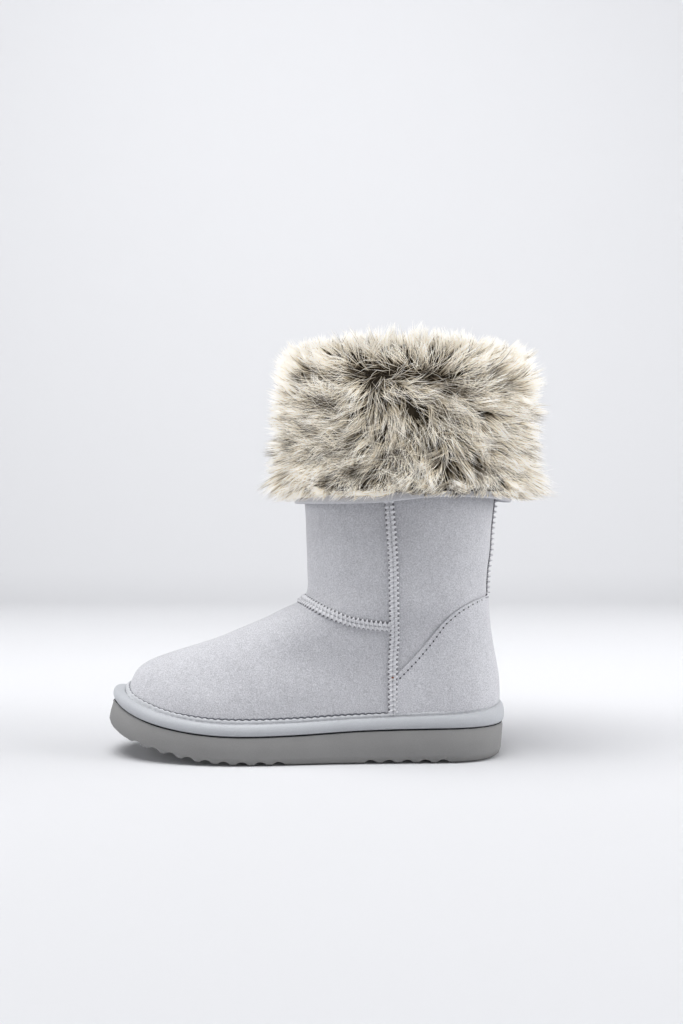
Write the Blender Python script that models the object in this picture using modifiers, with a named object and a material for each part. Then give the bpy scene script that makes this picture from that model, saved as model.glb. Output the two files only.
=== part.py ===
# Snow boot: a left boot with a suede upper, a foam sole, a wrapped welt and a turned-down fur cuff.
# Metres, +Z up. The toe points to -X, the outer side of the foot is -Y, and the origin is on the
# floor, under the middle of the sole's length.

import math
from bisect import bisect_right

import bmesh
import bpy
from mathutils import Vector

# Sole, seen from below
SOLE_LENGTH = 0.272
TOE_WIDTH = 0.096
BALL_WIDTH = 0.101
WAIST_WIDTH = 0.082
HEEL_WIDTH = 0.079
TOE_ROUND = 0.066
HEEL_ROUND = 0.040
TOE_SWING = 0.007

# Sole, seen from the side
SOLE_THICKNESS = 0.0226
TOE_SPRING = 0.0200
TOE_FLARE = 0.0036
HEEL_TUCK = 0.0018
SOLE_EDGE_ROUND = 0.0045
NOTCH_PITCH = 0.0120
NOTCH_DEPTH = 0.0030
NOTCH_WIDTH = 0.0094
TOE_TO_FIRST_NOTCH = 0.0240
FOREFOOT_NOTCHES = 9
HEEL_NOTCH_START = 0.1800
HEEL_NOTCHES = 5

# Welt and insole
SIDE_LEDGE = 0.0058
TOE_LEDGE = 0.0080
HEEL_LEDGE = 0.0050
WELT_HEIGHT = 0.0092
WELT_BULGE = 0.0016
INSOLE_THICKNESS = 0.0050

# Upper
WALL = 0.0028
INSTEP_HEIGHT = 0.1060
SHAFT_HEIGHT = 0.2680
ANKLE_DEPTH = 0.1228
ANKLE_WIDTH = 0.0860
COLLAR_WIDTH = 0.1040
HEEL_BULGE = 0.0014
ANKLE_TUCK = 0.0080
FRONT_FLARE = 0.0046
BACK_FLARE = 0.0120
LOAF_FULLNESS = 2.35
SHAFT_FULLNESS = 2.15

# Raised seams and the heel counter
SEAM_WIDTH = 0.0064
SEAM_RISE = 0.0016
SIDE_SEAM_TO_HEEL = 0.0786
SIDE_SEAM_LEAN = 0.0034
VAMP_SEAM_DROP = 0.0160
COUNTER_THICKNESS = 0.0012
COUNTER_SIDE_HEIGHT = 0.0578
COUNTER_BACK_HEIGHT = 0.1100

# Turned-down cuff
CUFF_DEPTH = 0.0968
HEM_STAND_FRONT = 0.0042
HEM_STAND_BACK = 0.0090
HEM_HEIGHT = 0.0080
HEM_THICKNESS = 0.0032
HEM_WAVE = 0.0043
FUR_DEPTH_FRONT = 0.0100
FUR_DEPTH_BACK = 0.0160
FUR_CREST = 0.0130
FUR_LIP_DEPTH = 0.0240
FUR_LIP_THICKNESS = 0.0040
LOCK_LENGTH = 0.0100
LOCK_TIP = 0.30

# Clearance between pieces that touch
GAP = 0.0003

# Mesh fineness
AROUND = 48
HOOP_AROUND = 36

# The sole's full width at stations from the toe (0) to the heel (1), and the centre line's turn
# towards the big toe as a share of TOE_SWING
SOLE_PLAN = {
    "station": [0.00, 0.14, 0.33, 0.60, 0.84, 1.00],
    "width": [TOE_WIDTH, TOE_WIDTH, BALL_WIDTH, WAIST_WIDTH, HEEL_WIDTH, HEEL_WIDTH],
    "swing": [1.00, 0.72, 0.10, -0.26, -0.06, 0.00],
}

# The sole's side view: the lift of its bottom as a share of TOE_SPRING, its thickness as a share of
# SOLE_THICKNESS and the welt's height as a share of WELT_HEIGHT
SOLE_SIDE = {
    "station": [0.00, 0.02, 0.06, 0.11, 0.18, 0.26, 0.36, 0.50, 0.63, 0.78, 0.90, 0.96, 1.00],
    "spring": [1.00, 0.91, 0.67, 0.46, 0.25, 0.07, 0.00, 0.00, 0.00, 0.00, 0.00, 0.00, 0.00],
    "thickness": [0.83, 0.83, 0.80, 0.77, 0.78, 0.82, 0.83, 0.87, 0.96, 1.00, 1.01, 1.01, 1.01],
    "welt": [1.50, 1.42, 1.22, 1.08, 0.94, 0.88, 0.86, 0.86, 0.84, 0.92, 1.02, 1.28, 1.66],
}

# Sections of the foot, from the feather line up to the instep. forward is a share of the length from
# the shaft to the toe, front_rise and back_rise are shares of the height from the feather line to
# INSTEP_HEIGHT, and tuck is the share of ANKLE_TUCK by which the heel's back line has come in.
FOOT_SECTIONS = {
    "forward": [1.00, 0.986, 0.958, 0.927, 0.883, 0.824, 0.735, 0.586, 0.437, 0.289, 0.140, 0.050, 0.006],
    "front_rise": [0.00, 0.090, 0.190, 0.283, 0.353, 0.416, 0.472, 0.555, 0.646, 0.764, 0.896, 0.968, 1.060],
    "back_rise": [0.00, 0.095, 0.187, 0.270, 0.350, 0.425, 0.500, 0.580, 0.660, 0.750, 0.850, 0.940, 1.045],
    "tuck": [0.26, 0.12, 0.03, 0.00, 0.06, 0.18, 0.33, 0.49, 0.64, 0.78, 0.90, 0.98, 1.00],
}
ROWS_UNDER_WELT = 2

# Sections of the shaft: rise is a share of the height from the instep to the fold, and the rest are
# shares of FRONT_FLARE, BACK_FLARE and of the growth from ANKLE_WIDTH to COLLAR_WIDTH.
SHAFT_SECTIONS = {
    "rise": [0.09, 0.17, 0.28, 0.40, 0.60, 0.80, 1.00],
    "front": [0.04, 0.14, 0.29, 0.46, 0.66, 0.84, 1.00],
    "back": [0.04, 0.14, 0.28, 0.44, 0.64, 0.83, 1.00],
    "width": [0.04, 0.12, 0.25, 0.42, 0.64, 0.83, 1.00],
}

# The vamp seam from the instep to the side seam, and the counter's top edge from the side seam to the
# back: along is the share of the way in x, and drop and lift are shares of the seam's height
VAMP_SEAM = {
    "along": [0.00, 0.10, 0.27, 0.525, 0.756, 1.00],
    "drop": [0.00, 0.13, 0.43, 0.775, 0.925, 1.00],
}
COUNTER_EDGE = {
    "along": [0.00, 0.17, 0.32, 0.48, 0.64, 0.81, 1.00],
    "lift": [0.00, 0.21, 0.43, 0.68, 0.84, 0.94, 1.00],
}

# The hem's lower edge from the front (0) to the back (1), as a share of HEM_WAVE above HEM_Z
HEM_EDGE = {
    "along": [0.00, 0.25, 0.40, 0.47, 0.57, 0.68, 0.87, 1.00],
    "lift": [0.00, -0.06, 0.12, 0.32, 0.80, 1.00, 0.88, 0.20],
}

# The fur's depth on the cuff from the hem (0) to the fold (1), as a share of FUR_DEPTH_FRONT or _BACK
FUR_SECTIONS = {
    "rise": [0.00, 0.13, 0.34, 0.56, 0.78, 1.00],
    "depth": [0.62, 0.92, 1.00, 1.00, 0.90, 0.48],
}

TOE_X = -SOLE_LENGTH / 2
HEEL_X = SOLE_LENGTH / 2
LAST_TOE_X = TOE_X + TOE_LEDGE
LAST_HEEL_X = HEEL_X - HEEL_LEDGE + HEEL_BULGE
ANKLE_BACK_X = LAST_HEEL_X - ANKLE_TUCK
ANKLE_FRONT_X = ANKLE_BACK_X - ANKLE_DEPTH
HEM_Z = SHAFT_HEIGHT - CUFF_DEPTH


def curve(knots, values):
    """A smooth curve through a table's points, with the slope at each taken from its neighbours."""
    slopes = []
    for i in range(len(knots)):
        before, after = max(i - 1, 0), min(i + 1, len(knots) - 1)
        slopes.append((values[after] - values[before]) / (knots[after] - knots[before]))

    def value_at(at):
        at = min(max(at, knots[0]), knots[-1])
        i = min(bisect_right(knots, at) - 1, len(knots) - 2)
        span = knots[i + 1] - knots[i]
        u = (at - knots[i]) / span
        return (
            values[i] * (1 + 2 * u) * (1 - u) ** 2
            + values[i + 1] * u * u * (3 - 2 * u)
            + slopes[i] * span * u * (1 - u) ** 2
            - slopes[i + 1] * span * u * u * (1 - u)
        )

    return value_at


def ease(low, high, value):
    """0 below low, 1 above high, and a soft step between."""
    u = min(max((value - low) / (high - low), 0.0), 1.0)
    return u * u * (3 - 2 * u)


def station(x):
    return (x - TOE_X) / SOLE_LENGTH


plan_width = curve(SOLE_PLAN["station"], SOLE_PLAN["width"])
plan_swing = curve(SOLE_PLAN["station"], SOLE_PLAN["swing"])
side_spring = curve(SOLE_SIDE["station"], SOLE_SIDE["spring"])
side_thickness = curve(SOLE_SIDE["station"], SOLE_SIDE["thickness"])
side_welt = curve(SOLE_SIDE["station"], SOLE_SIDE["welt"])


def round_end(distance, radius, power=2.2):
    """The share of its width that an outline has at a distance from its rounded end."""
    u = min(max(distance / radius, 0.0), 1.0)
    return (1 - (1 - u) ** power) ** (1 / power)


def half_width(x, toe_x, heel_x, inset):
    """Half the width at x of an outline that is inset from the sole's and ends at toe_x and heel_x."""
    full = plan_width(station(x)) / 2 - inset
    return full * round_end(x - toe_x, TOE_ROUND) * round_end(heel_x - x, HEEL_ROUND)


def centre_y(x):
    return TOE_SWING * plan_swing(station(x))


def sole_bottom(x):
    return max(0.0, TOE_SPRING * side_spring(station(x)))


def sole_top(x):
    return sole_bottom(x) + SOLE_THICKNESS * side_thickness(station(x))


def welt_top(x):
    return sole_top(x) + WELT_HEIGHT * side_welt(station(x))


def welt_line(x, share):
    """A height on the upper behind the welt, from the feather line (0) to the welt's top (1)."""
    return (sole_top(x) + GAP) * (1 - share) + welt_top(x) * share


def upper_sections():
    """The upper's sections as front and back points and shaft half widths, from the sole to the fold."""
    feather_front = sole_top(LAST_TOE_X) + GAP
    feather_back = sole_top(LAST_HEEL_X) + GAP
    rows = []
    for row, (forward, front, back, tuck) in enumerate(zip(*FOOT_SECTIONS.values())):
        front_x = ANKLE_FRONT_X + forward * (LAST_TOE_X - ANKLE_FRONT_X)
        back_x = LAST_HEEL_X - tuck * ANKLE_TUCK
        front_z = feather_front + front * (INSTEP_HEIGHT - feather_front)
        back_z = feather_back + back * (INSTEP_HEIGHT - feather_back)
        if row <= ROWS_UNDER_WELT:
            front_z, back_z = welt_line(front_x, row / ROWS_UNDER_WELT), welt_line(back_x, row / ROWS_UNDER_WELT)
        rows.append((front_x, front_z, back_x, back_z, ANKLE_WIDTH / 2))
    for rise, front, back, width in zip(*SHAFT_SECTIONS.values()):
        height = INSTEP_HEIGHT + rise * (SHAFT_HEIGHT - INSTEP_HEIGHT)
        rows.append(
            (
                ANKLE_FRONT_X - front * FRONT_FLARE,
                height,
                ANKLE_BACK_X + back * BACK_FLARE,
                height,
                (ANKLE_WIDTH + width * (COLLAR_WIDTH - ANKLE_WIDTH)) / 2,
            )
        )
    return rows


def row_levels():
    """0 at the feather line and 1 at the fold, by the distance that the sections' ends travel."""
    levels = [0.0]
    for low, high in zip(SECTIONS, SECTIONS[1:]):
        front = math.hypot(high[0] - low[0], high[1] - low[1])
        back = math.hypot(high[2] - low[2], high[3] - low[3])
        levels.append(levels[-1] + front + back)
    return [level / levels[-1] for level in levels]


SECTIONS = upper_sections()
LEVELS = row_levels()
FOOT_ROWS = len(FOOT_SECTIONS["forward"])
WELT_LEVEL = LEVELS[ROWS_UNDER_WELT]
LEVEL_LEVEL = LEVELS[FOOT_ROWS - 2]
section_curves = [curve(LEVELS, [row[column] for row in SECTIONS]) for column in range(5)]
ridge = curve([row[0] for row in SECTIONS[: FOOT_ROWS - 1]], [row[1] for row in SECTIONS[: FOOT_ROWS - 1]])
RIDGE_END_X, RIDGE_END_Z = SECTIONS[FOOT_ROWS - 2][0], SECTIONS[FOOT_ROWS - 2][1]
RIDGE_SLOPE = (RIDGE_END_Z - SECTIONS[FOOT_ROWS - 4][1]) / (RIDGE_END_X - SECTIONS[FOOT_ROWS - 4][0])


def vamp_height(x):
    """The top of the foot at x. Past the instep it runs on under the shaft at the vamp's slope."""
    if x >= RIDGE_END_X:
        return RIDGE_END_Z + RIDGE_SLOPE * (x - RIDGE_END_X)
    return ridge(x)


def side_point(level, along):
    """x and z on the section at this level, at a share of the way from its front to its back."""
    front_x, front_z, back_x, back_z = (section_curves[column](level) for column in range(4))
    x = front_x + (back_x - front_x) * along
    z = front_z + (back_z - front_z) * along
    sag = 0.0
    up = min(level / WELT_LEVEL, 1.0)
    for row, share in ((SECTIONS[0], 1 - up), (SECTIONS[ROWS_UNDER_WELT], up)):
        row_x = row[0] + (row[2] - row[0]) * along
        row_z = row[1] + (row[3] - row[1]) * along
        sag += share * (welt_line(row_x, 0 if row is SECTIONS[0] else 1) - row_z)
    fade = min(max((LEVEL_LEVEL - level) / (LEVEL_LEVEL - WELT_LEVEL), 0.0), 1.0) ** 1.6
    return x, z + sag * fade


def upper_point(level, angle):
    """A point of the upper's outer surface. The angle is 0 at the front and pi at the back, and it goes
    round by the outer side of the foot, at -Y."""
    level = min(max(level, 0.0), 1.0)
    along = (1 - math.cos(angle)) / 2
    front_x, front_z, back_x = (section_curves[column](level) for column in range(3))
    x, z = side_point(level, along)
    base = sole_top(min(max(x, LAST_TOE_X), LAST_HEEL_X)) + GAP
    roof = vamp_height(x) + front_z - vamp_height(front_x)
    up = min(max((z - base) / max(roof - base, 1e-6), 0.0), 1.0)
    loaf = math.sqrt(1 - up**LOAF_FULLNESS)
    foot = half_width(x, min(LAST_TOE_X, front_x), back_x, SIDE_LEDGE) * loaf
    foot *= 1 + 0.03 * math.sin(math.pi * min(up / 0.6, 1.0))
    tube = section_curves[4](level) * (1 - abs(2 * along - 1) ** SHAFT_FULLNESS) ** (1 / SHAFT_FULLNESS)
    share = ease(0.45 * INSTEP_HEIGHT, 1.02 * INSTEP_HEIGHT, z)
    half = foot + (tube - foot) * share
    side = -1.0 if math.sin(angle) >= 0 else 1.0
    return Vector((x, centre_y(x) * (1 - share) + side * half, z))


def upper_frame(level, angle):
    """The point, the outward normal and the tangents there, up the boot and round it."""
    step = 2e-3
    low, high = max(level - step, 0.0), min(level + step, 1.0)
    up = (upper_point(high, angle) - upper_point(low, angle)) / (high - low)
    turn = (upper_point(level, angle + 8 * step) - upper_point(level, angle - 8 * step)) / (16 * step)
    return upper_point(level, angle), turn.cross(up).normalized(), up, turn


def skin(level, angle, out):
    point, normal, _, _ = upper_frame(level, angle)
    return point + normal * out


def level_under(line, angle):
    """The level at which the surface at this angle meets a line, given as the height at each x."""
    along = (1 - math.cos(angle)) / 2
    low, high = 0.0, 1.0
    for _ in range(30):
        middle = (low + high) / 2
        x, z = side_point(middle, along)
        if z < line(x):
            low = middle
        else:
            high = middle
    return (low + high) / 2


def level_of(height, angle):
    return level_under(lambda x: height, angle)


def locate(x, z, side=1):
    """The level and angle of the upper's point at this x and z, at -Y (side 1) or +Y (side -1)."""
    low, high = 0.0, 1.0
    for _ in range(30):
        level = (low + high) / 2
        front_x, back_x = section_curves[0](level), section_curves[2](level)
        along = min(max((x - front_x) / (back_x - front_x), 0.0), 1.0)
        if side_point(level, along)[1] < z:
            low = level
        else:
            high = level
    angle = math.acos(1 - 2 * along)
    return level, angle if side > 0 else 2 * math.pi - angle


def around(count):
    return [2 * math.pi * i / count for i in range(count)]


def spread(low, high, count):
    return [low + (high - low) * i / (count - 1) for i in range(count)]


def new_object(name, vertices, faces, material, closed=True):
    mesh = bpy.data.meshes.new(name)
    mesh.from_pydata([tuple(v) for v in vertices], [], faces)
    body = bmesh.new()
    body.from_mesh(mesh)
    bmesh.ops.remove_doubles(body, verts=body.verts, dist=1e-6)
    if closed:
        bmesh.ops.recalc_face_normals(body, faces=body.faces)
    body.to_mesh(mesh)
    body.free()
    mesh.shade_smooth()
    mesh.set_sharp_from_angle(angle=math.radians(40))
    made = bpy.data.objects.new(name, mesh)
    made.data.materials.append(material)
    parts.objects.link(made)
    return made


def quads_between(rows, width, closed):
    """Faces that join row after row of points, each row with this many points."""
    steps = width if closed else width - 1
    return [
        (r * width + c, r * width + (c + 1) % width, (r + 1) * width + (c + 1) % width, (r + 1) * width + c)
        for r in range(rows - 1)
        for c in range(steps)
    ]


def ladder(start, count):
    """Faces across a closed ring whose points pair off left and right, from its front to its back."""
    half = count // 2
    faces = [(start, start + 1, start + count - 1), (start + half, start + half + 1, start + half - 1)]
    for i in range(1, half - 1):
        faces.append((start + i, start + i + 1, start + count - i - 1, start + count - i))
    return faces


def ring_loft(name, rings, material):
    """A solid from a stack of closed rings, with its first and last ring filled across."""
    count = len(rings[0])
    faces = quads_between(len(rings), count, True) + ladder(0, count) + ladder((len(rings) - 1) * count, count)
    return new_object(name, [v for ring in rings for v in ring], faces, material)


def hoop_loft(name, sections, material):
    """A closed hoop from sections that stand round it, each a closed loop of points."""
    count = len(sections[0])
    faces = quads_between(len(sections) + 1, count, True)
    total = len(sections) * count
    faces = [tuple(corner % total for corner in face) for face in faces]
    return new_object(name, [v for section in sections for v in section], faces, material)


def solidify(made, thickness, offset):
    wall = made.modifiers.new("wall", "SOLIDIFY")
    wall.thickness = thickness
    wall.offset = offset
    wall.use_even_offset = True


def outline_point(angle, inset, toe_pull=0.0, heel_pull=0.0):
    """x and y on the sole's outline, moved in by inset, and at the toe and heel by their pull more."""
    along = (1 - math.cos(angle)) / 2
    front = TOE_X + inset + toe_pull
    back = HEEL_X - inset - heel_pull
    x = front + (back - front) * along
    half = half_width(x, front, back, inset)
    return x, centre_y(x) - math.copysign(half, math.sin(angle))


def make_outsole(material):
    """The foam sole: a flared wall, a rounded lower edge, a lifted toe and a notched tread."""
    rings = []
    for inset, flare, tuck, drop in (
        (0.0008, 1.00, 0.20, 0.00),
        (0.0000, 0.90, 0.25, 0.06),
        (0.0000, 0.35, 0.60, 0.45),
        (0.0003, 0.00, 0.85, 0.74),
        (0.0014, 0.00, 1.00, 0.92),
        (SOLE_EDGE_ROUND, 0.00, 1.00, 1.00),
    ):
        ring = []
        for angle in around(AROUND):
            x, y = outline_point(angle, inset, flare * TOE_FLARE, tuck * HEEL_TUCK)
            top, bottom = sole_top(x), sole_bottom(x)
            ring.append((x, y, top + (bottom - top) * drop))
        rings.append(ring)
    outsole = ring_loft("outsole", rings, material)
    for start, count in ((TOE_TO_FIRST_NOTCH, FOREFOOT_NOTCHES), (HEEL_NOTCH_START, HEEL_NOTCHES)):
        for i in range(count):
            cut_notch(outsole, TOE_X + start + i * NOTCH_PITCH)
    return outsole


def cut_notch(outsole, x):
    """An arched notch across the tread."""
    radius = NOTCH_DEPTH / 2 + NOTCH_WIDTH**2 / (8 * NOTCH_DEPTH)
    bpy.ops.mesh.primitive_cylinder_add(
        vertices=24,
        radius=radius,
        depth=BALL_WIDTH * 1.5,
        location=(x, 0, sole_bottom(x) + NOTCH_DEPTH - radius),
        rotation=(math.pi / 2, math.pi / 24, 0),
    )
    rod = bpy.context.object
    rod.name = "notch_rod"
    rod.hide_render = True
    rod.display_type = "WIRE"
    for home in rod.users_collection:
        home.objects.unlink(rod)
    cutters.objects.link(rod)
    cut = outsole.modifiers.new("notch", "BOOLEAN")
    cut.operation = "DIFFERENCE"
    cut.object = rod


def make_insole(material):
    """The footbed inside the upper, following the sole's top."""
    rings = []
    for share, inset in ((0.0, 0.0), (0.75, 0.0), (1.0, 0.0015)):
        ring = []
        for angle in around(AROUND):
            point = skin(WELT_LEVEL * 0.5 * share, angle, -(WALL + 2 * GAP + inset))
            base = sole_top(min(max(point.x, LAST_TOE_X), LAST_HEEL_X)) + GAP
            ring.append((point.x, point.y, base + INSOLE_THICKNESS * share))
        rings.append(ring)
    return ring_loft("insole", rings, material)


def upper_rows():
    """The levels of the upper's mesh rows, closer together round the ankle's bend."""
    levels = []
    for i in range(len(LEVELS) - 1):
        pieces = 2 if FOOT_ROWS - 4 <= i < FOOT_ROWS else 1
        levels += [LEVELS[i] + (LEVELS[i + 1] - LEVELS[i]) * k / pieces for k in range(pieces)]
    return levels + [1.0]


def make_upper(material):
    """Vamp and shaft as one hollow wall, open at the collar and underneath."""
    levels = upper_rows()
    vertices = [upper_point(level, angle) for level in levels for angle in around(AROUND)]
    faces = quads_between(len(levels), AROUND, True)
    upper = new_object("upper", vertices, faces, material, closed=False)
    solidify(upper, WALL, -1)
    return upper


def make_welt(material):
    """The wrapped band round the sole's top, rounded on the outside."""
    sections = []
    for angle in around(AROUND):
        low = skin(0.0, angle, GAP)
        middle = skin(LEVELS[1], angle, GAP)
        high = skin(WELT_LEVEL, angle, GAP)
        loop = [low, middle, high]
        for spread, rise in ((-1.1, 1.0), (0.1, 0.90), (0.75, 0.68), (1.0, 0.42), (0.75, 0.16), (0.1, 0.0)):
            x, y = outline_point(angle, 0.0006 - spread * WELT_BULGE, TOE_FLARE)
            seat = sole_top(min(max(x, TOE_X), HEEL_X)) + 1.5 * GAP
            loop.append((x, y, seat + (high.z - low.z) * rise))
        sections.append(loop)
    return hoop_loft("welt", sections, material)


def make_counter(material):
    """The heel counter: a layer over the back of the upper, between the two side seams."""
    side_x = HEEL_X - SIDE_SEAM_TO_HEEL + SEAM_WIDTH / 2 + 2 * GAP
    lift = curve(COUNTER_EDGE["along"], COUNTER_EDGE["lift"])

    def top_line(x):
        share = lift((x - side_x) / (ANKLE_BACK_X - side_x))
        return COUNTER_SIDE_HEIGHT + share * (COUNTER_BACK_HEIGHT - COUNTER_SIDE_HEIGHT)

    bottom = WELT_LEVEL * 1.06
    bottom_height = welt_top(side_x) + 0.0012
    rows, columns = 7, 34
    vertices = []
    for row in range(rows + 1):
        height = bottom_height + (COUNTER_SIDE_HEIGHT - bottom_height) * row / rows
        first = locate(side_x, height)[1]
        for angle in spread(first, 2 * math.pi - first, columns + 1):
            top = level_under(top_line, angle)
            vertices.append(skin(bottom + (top - bottom) * row / rows, angle, 1.3 * GAP))
    faces = quads_between(rows + 1, columns + 1, False)
    counter = new_object("heel_counter", vertices, faces, material, closed=False)
    solidify(counter, COUNTER_THICKNESS, 1)
    return counter


def seam_strip(name, path, material, lift=GAP):
    """A raised strip of suede along a path of levels and angles on the upper."""
    sections = []
    for i, (level, angle) in enumerate(path):
        _, normal, up, turn = upper_frame(level, angle)
        before, after = path[max(i - 1, 0)], path[min(i + 1, len(path) - 1)]
        ahead = (upper_point(*after) - upper_point(*before)).normalized()
        across = ahead.cross(normal).normalized()
        uu, ut, tt = up.dot(up), up.dot(turn), turn.dot(turn)
        across_up, across_turn = across.dot(up), across.dot(turn)
        scale = uu * tt - ut * ut
        climb = (across_up * tt - across_turn * ut) / scale
        swing = (across_turn * uu - across_up * ut) / scale
        loop = []
        for reach, rise in ((-1, 0), (0, 0), (1, 0), (1, 0.45), (0.6, 1), (-0.6, 1), (-1, 0.45)):
            width = reach * SEAM_WIDTH / 2
            loop.append(skin(level + climb * width, angle + swing * width, lift + rise * SEAM_RISE))
        sections.append(loop)
    count = len(sections[0])
    faces = quads_between(len(sections), count, True)
    for start in (0, (len(sections) - 1) * count):
        for corners in ((0, 1, 5, 6), (1, 4, 5), (1, 2, 3, 4)):
            faces.append(tuple(start + corner for corner in corners))
    return new_object(name, [v for section in sections for v in section], faces, material)


def side_seam_x(height):
    """The side seam leans forward as it rises from the ankle to the hem."""
    rise = max(0.0, height - 0.8 * INSTEP_HEIGHT) / (HEM_Z - 0.8 * INSTEP_HEIGHT)
    return HEEL_X - SIDE_SEAM_TO_HEEL - SIDE_SEAM_LEAN * rise**1.3


def make_seams(material):
    """Two side seams, the seam across the instep and the seam up the back of the shaft."""
    seam_top = HEM_Z + HEM_HEIGHT * 0.9
    seam_bottom = welt_top(HEEL_X - SIDE_SEAM_TO_HEEL) + 4 * GAP
    for name, side in (("side_seam_outer", 1), ("side_seam_inner", -1)):
        path = [locate(side_seam_x(z), z, side) for z in spread(seam_bottom, seam_top, 24)]
        seam_strip(name, path, material)
    end_x = side_seam_x(INSTEP_HEIGHT - VAMP_SEAM_DROP) - SEAM_WIDTH / 2 - 2 * GAP
    end = locate(end_x, INSTEP_HEIGHT - VAMP_SEAM_DROP)[1]
    drop = curve(VAMP_SEAM["along"], VAMP_SEAM["drop"])

    def vamp_line(x):
        return INSTEP_HEIGHT - VAMP_SEAM_DROP * drop((x - ANKLE_FRONT_X) / (end_x - ANKLE_FRONT_X))

    path = [(level_under(vamp_line, angle), angle) for angle in spread(-end, end, 31)]
    seam_strip("vamp_seam", path, material, 2 * GAP)
    path = [(level_of(z, math.pi), math.pi) for z in spread(COUNTER_BACK_HEIGHT + 0.0008, seam_top, 13)]
    seam_strip("back_seam", path, material)


def shaft_spot(height, angle, out):
    """A point at a height on the shaft, moved level and outwards."""
    point, normal, _, _ = upper_frame(level_of(min(height, SHAFT_HEIGHT), math.pi / 2), angle)
    flat = Vector((normal.x, normal.y, 0)).normalized()
    return Vector((point.x, point.y, height)) + flat * out


def front_to_back(angle, front, back):
    return front + (back - front) * (1 - math.cos(angle)) / 2


def stand_off(angle, height):
    """How far the turned-down layer stands off the shaft, from nothing at the fold to most at the hem."""
    down = min(max((SHAFT_HEIGHT - height) / CUFF_DEPTH, 0.0), 1.0)
    return GAP + front_to_back(angle, HEM_STAND_FRONT, HEM_STAND_BACK) * down**0.75


hem_edge = curve(HEM_EDGE["along"], HEM_EDGE["lift"])


def hem_bottom(angle):
    return HEM_Z + HEM_WAVE * hem_edge((1 - math.cos(angle)) / 2)


def make_hem(material):
    """The folded suede edge that shows under the fur."""
    sections = []
    for angle in around(HOOP_AROUND):
        low = hem_bottom(angle)
        loop = []
        for out, rise in ((0, 1), (0, 0.16), (0.25, 0.0), (0.75, 0.0), (1, 0.18), (1, 1)):
            height = low + rise * HEM_HEIGHT
            loop.append(shaft_spot(height, angle, stand_off(angle, height) + out * HEM_THICKNESS))
        sections.append(loop)
    return hoop_loft("cuff_hem", sections, material)


def make_cuff(material):
    """The shaft's top turned down with its fur outside: a hoop over the collar with locks on it."""
    depth = curve(FUR_SECTIONS["rise"], FUR_SECTIONS["depth"])
    inner = -(WALL + 2 * GAP)
    top = SHAFT_HEIGHT + GAP
    sections = []
    for angle in around(HOOP_AROUND):
        low = hem_bottom(angle) + HEM_HEIGHT + GAP
        deep = front_to_back(angle, FUR_DEPTH_FRONT, FUR_DEPTH_BACK)
        shoulder = SHAFT_HEIGHT - 0.3 * CUFF_DEPTH
        loop = [
            shaft_spot(SHAFT_HEIGHT - FUR_LIP_DEPTH, angle, inner),
            shaft_spot(top, angle, inner),
            shaft_spot(top, angle, 2 * GAP),
            shaft_spot(shoulder, angle, stand_off(angle, shoulder)),
            shaft_spot(low, angle, stand_off(angle, low)),
        ]
        first = len(loop)
        for row, rise in enumerate(FUR_SECTIONS["rise"]):
            height = low + (SHAFT_HEIGHT - low) * rise
            turned = angle + (row % 2) * math.pi / HOOP_AROUND
            out = stand_off(turned, height) + HEM_THICKNESS + deep * depth(rise)
            loop.append(shaft_spot(height, turned, out))
        loop.append(shaft_spot(top + FUR_CREST, angle, 0.0))
        loop.append(shaft_spot(top + 0.55 * FUR_CREST, angle, inner - FUR_LIP_THICKNESS))
        last = len(loop) - 1
        loop.append(shaft_spot(SHAFT_HEIGHT - FUR_LIP_DEPTH, angle, inner - FUR_LIP_THICKNESS))
        sections.append(loop)
    cuff = hoop_loft("fur_cuff", sections, material)
    count = len(sections[0])
    grow_locks(cuff, [face.index for face in cuff.data.polygons if first <= face.index % count < last])
    return cuff


def grow_locks(cuff, furry):
    """Pulls a tapered lock of fur out of each of the cuff's furry faces."""
    body = bmesh.new()
    body.from_mesh(cuff.data)
    body.normal_update()
    body.faces.ensure_lookup_table()
    middle = Vector(((ANKLE_FRONT_X + ANKLE_BACK_X) / 2, 0, 0))

    def radial_at(centre):
        return Vector((centre.x - middle.x, centre.y - middle.y, 0)).normalized()

    made = bmesh.ops.extrude_discrete_faces(body, faces=[body.faces[index] for index in furry])
    for face in made["faces"]:
        centre = face.calc_center_median()
        radial = radial_at(centre)
        turn = math.atan2(radial.y, radial.x)
        comb = 0.45 * math.sin(3.0 * turn + 38.0 * centre.z) + 0.3 * math.sin(7.0 * turn - 65.0 * centre.z)
        length = LOCK_LENGTH * (1 + 0.2 * math.sin(11.0 * turn + 150.0 * centre.z))
        sweep = Vector((-radial.y, radial.x, 0)) * comb
        droop = 0.55 * (1 - ease(HEM_Z + 0.35 * CUFF_DEPTH, SHAFT_HEIGHT, centre.z))
        pull = (face.normal + sweep - Vector((0, 0, droop))).normalized() * length
        for vertex in face.verts:
            vertex.co = centre + (vertex.co - centre) * LOCK_TIP + pull
    body.to_mesh(cuff.data)
    body.free()


def painted(name, colour, roughness):
    material = bpy.data.materials.new(name)
    material.use_nodes = True
    shader = material.node_tree.nodes["Principled BSDF"]
    shader.inputs["Base Color"].default_value = (*colour, 1)
    shader.inputs["Roughness"].default_value = roughness
    shader.inputs["Metallic"].default_value = 0.0
    return material


def add_collection(name):
    made = bpy.data.collections.new(name)
    bpy.context.scene.collection.children.link(made)
    return made


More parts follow.
